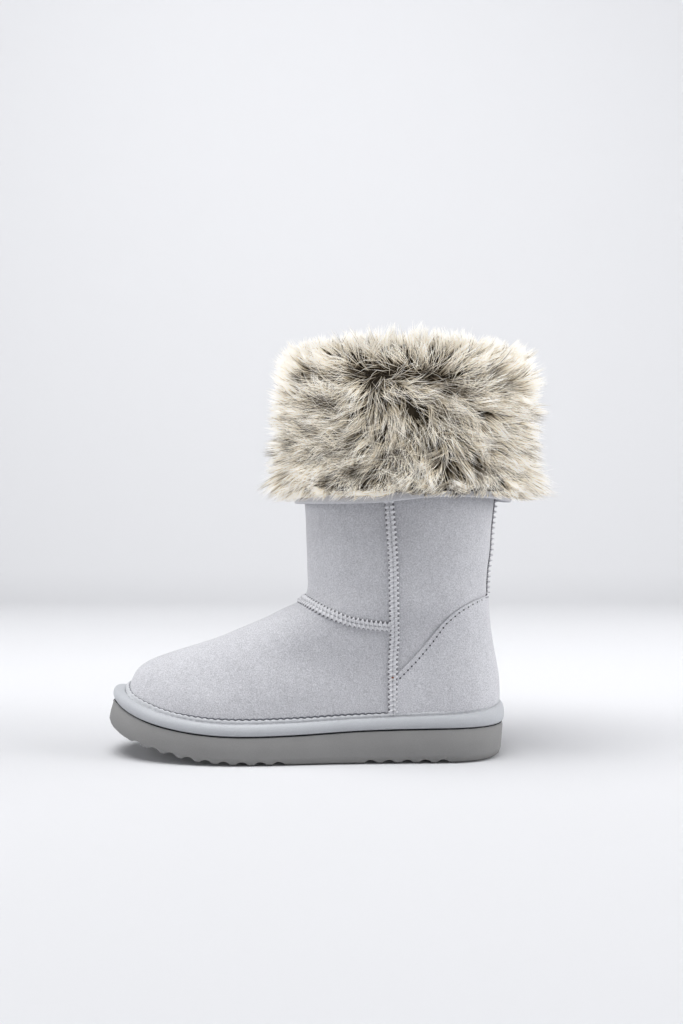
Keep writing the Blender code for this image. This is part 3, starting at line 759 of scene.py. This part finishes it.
def makeStitchAndShadowLine(trail, skin):
    # the dark cord above the lip: the whip-stitch thread, rising and falling with each stitch, and in the middle a
    # painted shadow of the groove between band and upper; it thins out to the heel
    points, widths = [], []
    distance = 0.0
    fine = evenly(np.array([tuple(spot) for spot in trail]), 0.0006)
    for before, place in zip(fine, fine[1:]):
        distance += np.linalg.norm(place - before)
        hit, normal, _, _ = skin.find_nearest(Vector(place))
        up = (Vector((0, 0, 1)) - normal * normal.z).normalized()
        beat = abs(math.sin(math.pi * distance / lipStitchAndShadow["pitch"]))
        points.append(tuple(hit + up * (lipStitchAndShadow["above"] + lipStitchAndShadow["wave"] * beat) + normal * 0.0002))
        thick = np.interp(hit.x, lipStitchAndShadow["stations"], lipStitchAndShadow["radii"])
        widths.append(thick * (0.6 + 0.4 * beat))
    tube("lipThreadAndShadow", points, widths, makePlain("threadAndShadowDark", lipStitchAndShadow["colour"]), "welt_wrap")


lipWrap = {
    "stops": [(0.25, (0.62, 0.632, 0.66)), (0.75, (0.74, 0.752, 0.78))],
    "shade": (0.06, 0.063, 0.075, 1),
    "dark": (0.40, 0.45),  # painted shade along the whole upper edge, and more at each stitch where it sinks in
    "fade": (0.02, 0.11, 0.6),  # between these x the painted shade gives way, by this share, towards the heel
}
# a near-black cord: painted shadow in the groove between band and sole
grooveShadowLine = {"radius": 0.00042, "colour": (0.030, 0.032, 0.036), "drop": 0.003}


def makeLipWrap(count):
    # the band's wrap, darker along its upper edge: painted shade where it meets the upper, and darker still where the
    # whip stitches sink in
    material, tree, shader = newMaterial("weltLipWrap", Roughness=0.7, Specular_IOR_Level=0.25, Sheen_Weight=0.15)
    along, across = uvSpot(tree)
    fine = grain(tree, places(tree), 1500, 2.0, 0.6)
    base = ramp(tree, fine, *lipWrap["stops"])
    stitch = (abs((along * float(count)).fract() - 0.5) * 2.0).step(0.45, 1.0)
    upper = abs(across - 0.5) * 2.0
    edge, deep = lipWrap["dark"]
    front, back, share = lipWrap["fade"]
    place = split(tree, places(tree), "X").step(front, back)
    shade = upper.step(0.62, 1.0) * (stitch * deep + edge) * (1 - place * share)
    feed(tree, shader, Base_Color=blendColours(tree, shade.clamp(), base, lipWrap["shade"]))
    return material


def makeWeltTrim(upper, counter, welt, sole):
    # the band's turned lip, whipped to the upper, and a dark cord under the band, painted shadow in the groove between
    # band and sole
    skin = skinOf(upper, counter)
    ring = edgeRing(welt, lambda points: points[:, 2])
    trail = []
    for x, y, z in smoothTrail(evenly(ring, 0.003), 8):
        outward = Vector((x - min(max(x, -0.085), 0.095), y, 0)).normalized()
        hit, _ = cast(skin, Vector((x, y, z + 0.0009)) + outward * 0.03, -outward)
        if hit is not None:
            trail.append(hit)
    lip, count = layStrip("weltLip", trail, skin, weltLip, 0.00065, lipColumns)
    finish(lip, makeLipWrap(count), "welt_wrap")
    makeStitchAndShadowLine(trail, skin)
    ring = edgeRing(sole, topRim)
    ring = ring[np.abs(ring[:, 2] - np.interp(ring[:, 0], *soleTop(pointsOf(sole)))) < grooveShadowLine["drop"]]
    ring = smoothTrail(evenly(ring, 0.004), 3)
    widths = [grooveShadowLine["radius"]] * len(ring)
    tube("grooveShadowLine", ring, widths, makePlain("grooveShadowDark", grooveShadowLine["colour"]), "sole_foam")
    print("band lip and glue line are made")


counterStitch = {
    # the edge's x and height on the side, and how far in the row lies
    "edge": [
        (0.0618, 0.0578), (0.0727, 0.0689), (0.0823, 0.0802), (0.0921, 0.0935),
        (0.1022, 0.1017), (0.1127, 0.1070), (0.1220, 0.1099),
    ],
    "inset": 0.0024,
    "middle": 0.080,  # the back's row is cast towards this x, and lies at the next
    "back": 0.1357,
    "pitch": 0.0035,
    "hole": 0.0006,
    "holeColour": (0.06, 0.06, 0.07),
    "thread": (0.0019, 0.00022),  # length and radius
    "threadColour": (0.42, 0.42, 0.45),
}


def makeCounterStitches(counter):
    # a row of needle holes round the counter's top edge, with the thread sunk between them
    skin = skinOf(counter)
    size = counterStitch
    edge = evenly(size["edge"], 0.0005)
    ahead = unit(np.gradient(edge, axis=0))
    row = evenly(edge + np.stack([ahead[:, 1], -ahead[:, 0]], axis=1) * size["inset"], size["pitch"])
    sides = []
    for side in (-1, 1):
        hits = [cast(skin, (x, side * 0.2, z), (0, -side, 0)) for x, z in row]
        sides.append([hit for hit in hits if hit[0] is not None])
    # and across the back between the two sides
    outer, inner = sides
    corner = outer[-1][0]
    wide = abs(math.atan2(corner.y, corner.x - size["middle"]))
    steps = round(2 * wide * (size["back"] - size["middle"]) / size["pitch"])
    across = []
    for turn in np.linspace(-wide, wide, steps)[1:-1]:
        away = Vector((math.cos(turn), math.sin(turn), 0))
        across.append(cast(skin, Vector((size["middle"], 0, corner.z)) + away * 0.2, -away))
    trail = outer + across + inner[::-1]
    holes, threads = [], []
    for (spot, normal), (after, _) in zip(trail, trail[1:]):
        along = (after - spot).normalized()
        beside = along.cross(normal).normalized()
        for angle in np.arange(8) * math.pi / 4:
            rim = along * math.cos(angle) * 1.25 + beside * math.sin(angle)
            holes.append(spot + rim * size["hole"] + normal * 0.00002)
        holes.append(spot + normal * 0.00012)
        length, radius = size["thread"]
        middle = (spot + after) / 2
        for share, thick in ((-0.5, 0.15), (-0.3, 1.0), (0.3, 1.0), (0.5, 0.15)):
            for angle in np.arange(6) * math.pi / 3:
                ring = beside * math.cos(angle) + normal * math.sin(angle) * 0.6
                threads.append(middle + along * length * share + ring * radius * thick)
    fan = [(i, (i + 1) % 8, 8) for i in range(8)]
    count = len(holes) // 9
    dots = joinedMesh("counterHoles", np.array(holes), repeated(fan, count, 9))
    finish(dots, makePlain("needleHole", size["holeColour"]), "grey_suede")
    wall = []
    for low in (0, 6, 12):  # from each ring of six corners to the next
        for i in range(6):
            beyond = (i + 1) % 6
            wall.append((low + i, low + 6 + i, low + 6 + beyond, low + beyond))
    thread = joinedMesh("counterThread", np.array(threads), repeated(wall, count, 24))
    finish(thread, makePlain("greyThread", size["threadColour"]), "grey_suede")
    print("counter is stitched")


speck = {
    "place": (0.0585, 0.0565),
    "height": 0.0021,
    "size": (0.0009, 0.0006, 0.0003),
    "colour": (0.30, 0.115, 0.055),
}


def makeSpeck(upper):
    # the small rust-coloured crumb that sits on the outer side strip
    hit, normal = cast(skinOf(upper), (speck["place"][0], -0.2, speck["place"][1]), (0, 1, 0))
    deselectAll()
    bpy.ops.mesh.primitive_ico_sphere_add(subdivisions=2, radius=1, location=hit + normal * speck["height"])
    crumb = bpy.context.object
    crumb.name = "rustSpeck"
    crumb.scale = speck["size"]
    crumb.rotation_euler = normal.to_track_quat("Z", "Y").to_euler()
    bpy.ops.object.transform_apply(location=True, rotation=True, scale=True)
    bpy.ops.object.shade_smooth()
    finish(crumb, makePlain("rust", speck["colour"]), "grey_suede")


liningPile = {"depth": 0.0016, "lumps": 0.0012, "thickness": 0.001, "top": 0.255}


def makeLining(fleece):
    # the fleece inside the upper: its inner wall moved in and made lumpy
    lining = copyOfNode("upper", "fleeceLining", 1)
    bpy.ops.object.mode_set(mode="EDIT")
    shape = bmesh.from_edit_mesh(lining.data)
    for face in shape.faces:
        centre = face.calc_center_median()
        if centre.z > 0.10:
            away = Vector((centre.x - 0.066, centre.y, 0))
        else:
            away = centre - Vector((min(max(centre.x, -0.095), 0.09), 0, 0.045))
        face.select_set(face.normal.dot(away) > -0.2 * away.length or centre.z > liningPile["top"])
    bmesh.update_edit_mesh(lining.data)
    bpy.ops.mesh.delete(type="FACE")
    bpy.ops.object.mode_set(mode="OBJECT")
    points, normals = pointsOf(lining), normalsOf(lining)
    depth = liningPile["depth"] + lumpsAt(points, 230) * liningPile["lumps"]
    setPoints(lining, points + normals * depth[:, None])
    focus(lining)
    pile = lining.modifiers.new("pile", "SOLIDIFY")
    pile.thickness = liningPile["thickness"]
    pile.offset = -1
    bpy.ops.object.modifier_apply(modifier="pile")
    bpy.ops.object.shade_smooth()
    finish(lining, fleece, "footbed_fleece")


hemWave = [0, -0.06, 0.12, 0.32, 0.8, 1.0, 0.88, 0.2]

cuffFur = {
    "seed": 11,
    "pieces": 4,
    "outsideHairs": 36800,
    "hemHairs": 3000,
    "length": 0.0245,
    "thickness": 0.00050,
    "clumps": 2400,
    "strays": 0.12,
    "gaps": 0.22,
    "stir": 0.6,
    "whorl": (0.057, 0.254, 0.009, 1.1),  # x, z and reach of the place the hair turns about, and how far
    "hem": (0.0678, 0.0745, 0.0562, 0.1775),  # middle x, half depth, half width and height of the lowest roots
    "fold": (0.0675, 0.0700, 0.0523, 0.2680),
    # which way the hair lies on the boot's side: x and z in millimetres, then the lie's x and z
    "lie": [
        (-18, 269, -0.5, 0.85), (-2, 273, -0.35, 0.94), (14, 273, -0.1, 1), (30, 273, 0.3, 0.95), (49, 273, 0.1, 1),
        (66, 273, -0.15, 1), (86, 273, 0.2, 1), (105, 273, 0.0, 1), (118, 271, 0.4, 0.9), (133, 266, 0.6, 0.8),
        (145, 250, 0.85, 0.45), (30, 259, -0.4, 0.9), (44, 260, 0.25, 0.95), (56, 262, -0.2, 1), (68, 260, 0.3, 0.95),
        (82, 259, -0.1, 1), (97, 257, 0.45, 0.9), (112, 254, 0.6, 0.8), (41, 243, -0.8, -0.6),
        (52, 242, 0.0, -1), (46, 251, -0.6, -0.8), (52, 249, -0.3, -0.95), (40, 248, -0.85, -0.5),
        (58, 250, 0.2, -1), (34, 250, -0.95, 0.1), (62, 244, 0.6, -0.75), (80, 244, 0.8, -0.5), (94, 243, 0.9, -0.4),
        (150, 242, 0.9, -0.2), (-2, 250, -0.8, 0.6), (17, 241, -0.85, 0.45), (27, 234, -0.9, 0.35),
        (40, 237, -0.65, -0.75), (56, 237, 0.1, -1), (75, 237, 0.6, -0.8), (107, 244, 0.9, -0.3),
        (126, 237, 0.95, -0.25), (-2, 231, -0.95, 0.3), (-8, 218, -0.95, 0.2), (11, 221, -1, 0.1),
        (30, 218, -0.75, -0.65), (49, 218, -0.45, -0.9), (62, 218, -0.1, -1), (81, 218, 0.35, -0.93),
        (101, 218, 0.55, -0.83), (120, 218, 0.7, -0.7), (139, 218, 0.85, -0.5), (-2, 202, -0.9, -0.4),
        (-15, 193, -0.8, -0.6), (17, 202, -0.9, -0.35), (30, 193, -0.95, -0.1), (53, 202, -0.6, -0.8),
        (69, 202, -0.25, -0.95), (88, 202, 0.15, -1), (107, 199, 0.45, -0.9), (126, 199, 0.7, -0.7),
        (145, 196, 0.8, -0.5), (155, 186, 0.95, -0.3), (-2, 183, -0.3, -0.95), (30, 181, -0.2, -1),
        (62, 183, -0.85, -0.45), (88, 186, -0.9, -0.35), (113, 186, -0.7, -0.6), (133, 180, 0.6, -0.75),
    ],
    # partings, where the hair parts and the hairs near them are painted darker as shade in the gap: x, z, half width
    # and half height in millimetres
    "partings": [
        (-2, 255, 4, 4), (32, 255, 4, 5), (58, 254, 6, 3.5), (46, 248, 2.5, 4), (80, 255, 3, 2), (93, 247, 4, 5),
        (106, 243, 8, 3), (89, 226, 6, 5), (13, 237, 8, 3), (5, 219, 4, 3), (-11, 212, 3, 6), (30, 210, 4, 5),
        (19, 204, 9, 3), (33, 190, 9, 4), (14, 186, 4, 3), (59, 203, 6, 5), (118, 193, 9, 2.5),
    ],
}


def turnAbout(lie, normals, angle):
    angle = angle[:, None]
    return lie * np.cos(angle) + np.cross(normals, lie) * np.sin(angle)


def swirl(points, scale, seed):
    # soft even noise from -1 to 1
    return np.array([noise.noise(Vector(point) * scale + Vector((seed, 0, 0))) for point in points]) * 1.8


def furLie(points, normals):
    # the lie at each point, from the chart, by inverse distance, and then stirred a little
    chart = np.array(cuffFur["lie"])
    gaps = np.linalg.norm(points[:, None, [0, 2]] * 1000 - chart[None, :, :2], axis=2)
    weights = 1 / (gaps**2 + 9) ** 1.4
    lie = (weights[:, :, None] * chart[None, :, 2:]).sum(axis=1)
    lie = unit(np.stack([lie[:, 0], np.zeros(len(lie)), lie[:, 1]], axis=1))
    x, z, reach, turn = cuffFur["whorl"]
    around = turn * np.exp(-((points[:, 0] - x) ** 2 + (points[:, 2] - z) ** 2) / (2 * reach**2))
    return turnAbout(lie, normals, around + swirl(points, 75, 3.0) * cuffFur["stir"] + swirl(points, 185, 8.0) * 0.5)


def parting(points):
    dark = np.zeros(len(points))
    for x, z, wide, high in cuffFur["partings"]:
        gap = ((points[:, 0] * 1000 - x) / wide) ** 2 + ((points[:, 2] * 1000 - z) / high) ** 2
        dark = np.maximum(dark, np.exp(-gap * 0.8))
    return dark


def cuffRoots(turn, rise):
    # turn goes round the cuff; rise is 0 at the hem, 1 at the fold, up to 1.25 over the fold and down to 1.5 inside
    hem, fold = np.array(cuffFur["hem"]), np.array(cuffFur["fold"])
    outside = np.clip(rise, 0, 1)[:, None]
    middle, depth, width, height = (hem + (fold - hem) * outside).T
    over = np.clip((rise - 1) / 0.25, 0, 1) * math.pi  # over the rolled fold
    down = np.clip(rise - 1.25, 0, 1) / 0.25 * 0.022
    roll = 0.0022
    inset = roll * (1 - np.cos(over))
    height = height + roll * np.sin(over) - down
    circle = np.stack([np.cos(turn), np.sin(turn)], axis=1)
    size = np.stack([depth - inset, width - inset], axis=1)
    flat = circle * size
    normal = circle / size
    normal /= np.linalg.norm(normal, axis=1)[:, None]
    points = np.stack([middle + flat[:, 0], flat[:, 1], height], axis=1)
    lean = np.cos(over)
    normals = np.stack([normal[:, 0] * lean, normal[:, 1] * lean, np.sin(over)], axis=1)
    return points, normals


def scatterRoots(rng, count, low, high):
    turn = rng.random(count) * 2 * math.pi
    return cuffRoots(turn, low + (high - low) * rng.random(count))


def hairBends(points, normals, lie, lengths, lift, curl):
    # the hair leaves one way and ends another, so it bends round as it lies down
    inward = np.minimum((lie * normals).sum(axis=1), 0)[:, None]
    lie = unit(lie - normals * inward)
    lengths = lengths[:, None]
    middle = points + unit(normals * 0.8 + turnAbout(lie, normals, curl) * 0.6) * lengths * 0.48
    tip = points + unit(turnAbout(lie, normals, curl * -0.4) * 0.86 + normals * lift[:, None]) * lengths
    return middle, tip


def hairLengths(points):
    x, z = points[:, 0] * 1000, points[:, 2] * 1000
    share = np.interp(x, [-8, 12, 40, 120, 143], [0.94, 0.98, 1.0, 1.02, 1.12])
    share *= np.interp(z, [177, 190, 262, 270], [0.75, 1, 1, 0.85])
    lower = np.interp(x, [-8, 12, 40, 80, 110, 143], [0.22, 0.08, 0.04, 0.0, 0.12, 0.42])
    share *= 1 - np.clip((z - 262) / 8, 0, 1) * lower
    wisps = 0.45 * np.exp(-(((z - 188) / 9) ** 2)) * (np.clip((x - 125) / 15, 0, 1) + np.clip((4 - x) / 10, 0, 1))
    return cuffFur["length"] * (share + wisps)


def hemTop(points):
    # the fur ends along the hem, which waves a little
    along = (points[:, 0] * 1000 + 7) / 149
    return 0.1712 + 0.0019 * np.interp(along, [0, 0.25, 0.4, 0.47, 0.57, 0.68, 0.87, 1], hemWave) + 0.0038


def hairLie(points, normals, angles):
    # along the chart's lie, and more upright where the cuff folds over
    lie = turnAbout(furLie(points, normals), normals, angles)
    upward = np.clip(normals[:, 2], 0, 1)[:, None]
    return unit(lie * (1 - 0.5 * upward) + np.array([0, 0, 1.0]) * upward * 0.4)


def growHairs(name, rng, points, normals, clumps, material, shortness=1.0):
    count = len(points)
    loose = parting(points) ** 0.35  # hairs cross each other round a parting
    lie = hairLie(points, normals, rng.normal(0, 0.16, count) + rng.normal(0, 1.3, count) * loose)
    lengths = hairLengths(points) * shortness * rng.uniform(0.7, 1.12, count)
    stray = rng.random(count) < cuffFur["strays"] + 0.28 * loose
    lift = np.where(stray, rng.uniform(0.5, 1.0, count), rng.uniform(0.28, 0.55, count))
    clumpPoints, clumpTips, clumpTones, clumpCurls, tree = clumps
    nearest = np.array([tree.find(point)[1] for point in points])
    curl = clumpCurls[nearest] + rng.normal(0, 0.12, count)
    middle, tip = hairBends(points, normals, lie, lengths, lift, curl)
    # every hair leans to the tip of its own clump
    pull = (np.where(stray, 0.1, rng.uniform(0.5, 0.92, count)) * (1 - 0.55 * loose))[:, None]
    tip = tip + (clumpTips[nearest] + (points - clumpPoints[nearest]) * 0.30 - tip) * pull
    middle = middle + ((points + (clumpTips[nearest] - clumpPoints[nearest]) * 0.42) - middle) * pull * 0.3
    floor = hemTop(points) + rng.random(count) ** 2 * 0.0035 - 0.003 * (rng.random(count) < 0.25)
    # no hair hangs below the hem: it is cut short where it would
    drop = np.maximum(points[:, 2] - np.minimum(tip[:, 2], middle[:, 2]), 1e-6)
    keep = np.clip((points[:, 2] - floor) / drop, 0.12, 1)[:, None]
    tip = points + (tip - points) * keep
    middle = points + (middle - points) * keep
    tip[:, 2] = np.maximum(tip[:, 2], floor)
    middle[:, 2] = np.maximum(middle[:, 2], floor)
    # painted light: hairs rooted near the top of the cuff, where the lamp falls from above, are made paler
    crestLight = np.clip((points[:, 2] - 0.252) / 0.010, 0, 1)
    tone = 0.62 * clumpTones[nearest] + 0.38 * rng.random(count) ** 0.5 + 0.42 * crestLight
    tone = tone - 0.6 * (rng.random(count) < 0.23) + 0.25 * (points[:, 2] < 0.182)
    tone = np.where(stray, 1.0, tone)
    shown = np.where(stray, 0.25, 1.0)  # a stray hair takes only a quarter of the painted parting shade and stays pale
    # three rings of three corners and a tip
    rings, tones = [], []
    for share, width in ((0.0, 1.0), (0.34, 0.9), (0.7, 0.62)):
        centre = points * (1 - share) ** 2 + middle * (2 * share * (1 - share)) + tip * share**2
        # painted shade: each ring is darker near a parting
        tones += [tone - shown * parting(centre)] * 3
        ahead = unit((middle - points) * (1 - share) + (tip - middle) * share)
        side = unit(np.cross(ahead, normals + 0.01))
        other = np.cross(side, ahead)
        radius = (cuffFur["thickness"] / 2 * width * np.where(stray, 0.65, 1.0))[:, None]
        for corner in range(3):
            angle = corner * 2 * math.pi / 3
            rings.append(centre + side * radius * math.cos(angle) + other * radius * math.sin(angle))
    rings.append(tip)
    # painted shade: the tip is darker still near a parting
    tones.append(tone - 0.9 * shown * parting(tip))
    vertices = np.stack(rings, axis=1).reshape(-1, 3)
    along = np.tile([0, 0, 0, 0.34, 0.34, 0.34, 0.7, 0.7, 0.7, 1.0], count)
    uv = np.stack([np.clip(np.stack(tones, axis=1), 0.01, 0.99).ravel(), along], axis=1)
    pattern = []
    for ring in (0, 3):
        for corner in range(3):
            after = (corner + 1) % 3
            a, b, c, d = ring + corner, ring + after, ring + 3 + after, ring + 3 + corner
            pattern += [(a, b, c), (a, c, d)]
    pattern += [(6 + corner, 6 + (corner + 1) % 3, 9) for corner in range(3)]
    finish(joinedMesh(name, vertices, repeated(pattern, count, 10), uv), material, "cuff_fur")


def makeClumps(rng, low, high, count, shortness=1.0):
    points, normals = scatterRoots(rng, count, low, high)
    loose = rng.normal(0, 0.42, count) + rng.normal(0, 1.2, count) * parting(points) ** 0.35
    lie = hairLie(points, normals, loose)
    lengths = hairLengths(points) * shortness * rng.uniform(0.68, 1.16, count)
    curls = rng.normal(0, 0.5, count)
    _, tips = hairBends(points, normals, lie, lengths, rng.uniform(0.3, 0.55, count), curls)
    # some locks are short and painted dark, painted shade so that the fur seems to have gaps
    gap = rng.random(count) < cuffFur["gaps"]
    tips = np.where(gap[:, None], points + (tips - points) * 0.62, tips)
    x = points[:, 0] * 1000
    # paler at the front, golden behind
    tones = np.clip(rng.normal(np.interp(x, [-10, 30, 70, 140], [1.02, 0.90, 0.76, 0.86]), 0.42), 0.0, 1.15)
    # painted shade: the hairs of these short locks are made dark
    tones = np.where(gap, tones * 0.12, tones)
    tree = KDTree(count)
    for i, point in enumerate(points):
        tree.insert(point, i)
    tree.balance()
    return points, tips, tones, curls, tree


def makeUnderFurShell(material):
    # a closed dense coat under the long hair: a torus opened to the cuff's section, coloured near black as painted
    # shade deep in the fur
    deselectAll()
    around, section = 96, 28
    bpy.ops.mesh.primitive_torus_add(major_segments=around, minor_segments=section, major_radius=1, minor_radius=0.2)
    shell = bpy.context.object
    shell.name = "underFurShade"
    points = pointsOf(shell)
    turn = np.arctan2(points[:, 1], points[:, 0])
    share = (np.arctan2(points[:, 2], np.hypot(points[:, 0], points[:, 1]) - 1) / (2 * math.pi)) % 1.0
    # out along the outside, over the fold, down the lip and back under the coat
    stops = [0, 0.25, 0.42, 0.58, 0.60, 0.70, 0.80, 0.97, 1.0]
    rise = np.interp(share, stops, [0.02, 1.0, 1.25, 1.5, 1.5, 1.25, 1.0, 0.0, 0.02])
    coat = np.interp(share, [0, 0.30, 0.50, 0.57, 0.60, 0.62, 0.96, 0.98, 1.0], [5, 4.5, 3, 2.5, 1, 0.2, 0.2, 3.5, 5])
    roots, normals = cuffRoots(turn, rise)
    lumps = lumpsAt(roots, 190)
    out = coat / 1000 + np.where(share < 0.58, lumps * 0.0022, 0)
    setPoints(shell, roots + normals * out[:, None])
    focus(shell)
    bpy.ops.object.mode_set(mode="EDIT")
    bpy.ops.mesh.select_all(action="SELECT")
    bpy.ops.mesh.normals_make_consistent(inside=False)
    bpy.ops.object.mode_set(mode="OBJECT")
    bpy.ops.object.shade_smooth()
    finish(shell, material, "cuff_fur", "fur_cuff")


# each row: the piece, where its clumps and where its hairs start, how many of each, and the share of the length
furBands = [
    ("furCrest", (1.0, 1.28), (1.0, 1.26), 520, 7000, 0.75),
    ("furLip", (1.24, 1.5), (1.24, 1.5), 400, 2200, 0.6),
]


def makeFurCuff():
    rng = np.random.default_rng(cuffFur["seed"])
    fur = makeFur()
    makeUnderFurShell(makeLook("underFurShade", looks["underFurShade"]))
    outsideClumps = makeClumps(rng, 0.0, 1.02, cuffFur["clumps"])
    each = cuffFur["outsideHairs"] // cuffFur["pieces"]
    for part in range(cuffFur["pieces"]):
        points, normals = scatterRoots(rng, each, 0.0, 1.02)
        growHairs(f"furOutside_{part + 1}", rng, points, normals, outsideClumps, fur)
    # on over the fold, and down its inner lip
    for name, clumpRise, hairRise, clumps, hairs, shortness in furBands:
        bandClumps = makeClumps(rng, *clumpRise, clumps, shortness)
        points, normals = scatterRoots(rng, hairs, *hairRise)
        growHairs(name, rng, points, normals, bandClumps, fur, shortness)
    points, normals = scatterRoots(rng, cuffFur["hemHairs"], 0.0, 0.05)
    growHairs("furHem", rng, points, normals, outsideClumps, fur, 0.5)
    print("fur cuff is grown")


makeStudio()
suedeMaterial = makeLook("greySuede", looks["suede"])
foamMaterial = makeLook("soleFoam", looks["foam"])
wrapMaterial = makeLook("weltWrap", looks["wrap"])
fleeceMaterial = makeLook("footbedFleece", looks["fleece"])
upperPiece, counterPiece = makeUpper(suedeMaterial)
solePiece, weltPiece = makeSole(foamMaterial, wrapMaterial, fleeceMaterial)
makeLining(fleeceMaterial)
finish(copyOfNode("cuff_hem", "cuffHem", 2), makeLook("hemSuede", looks["suede"], fleck=0.5), "grey_suede", "cuff_hem")
print("lining and cuff hem are in")
makeStrips(upperPiece)
makeWeltTrim(upperPiece, counterPiece, weltPiece, solePiece)
makeCounterStitches(counterPiece)
makeSpeck(upperPiece)
makeFurCuff()
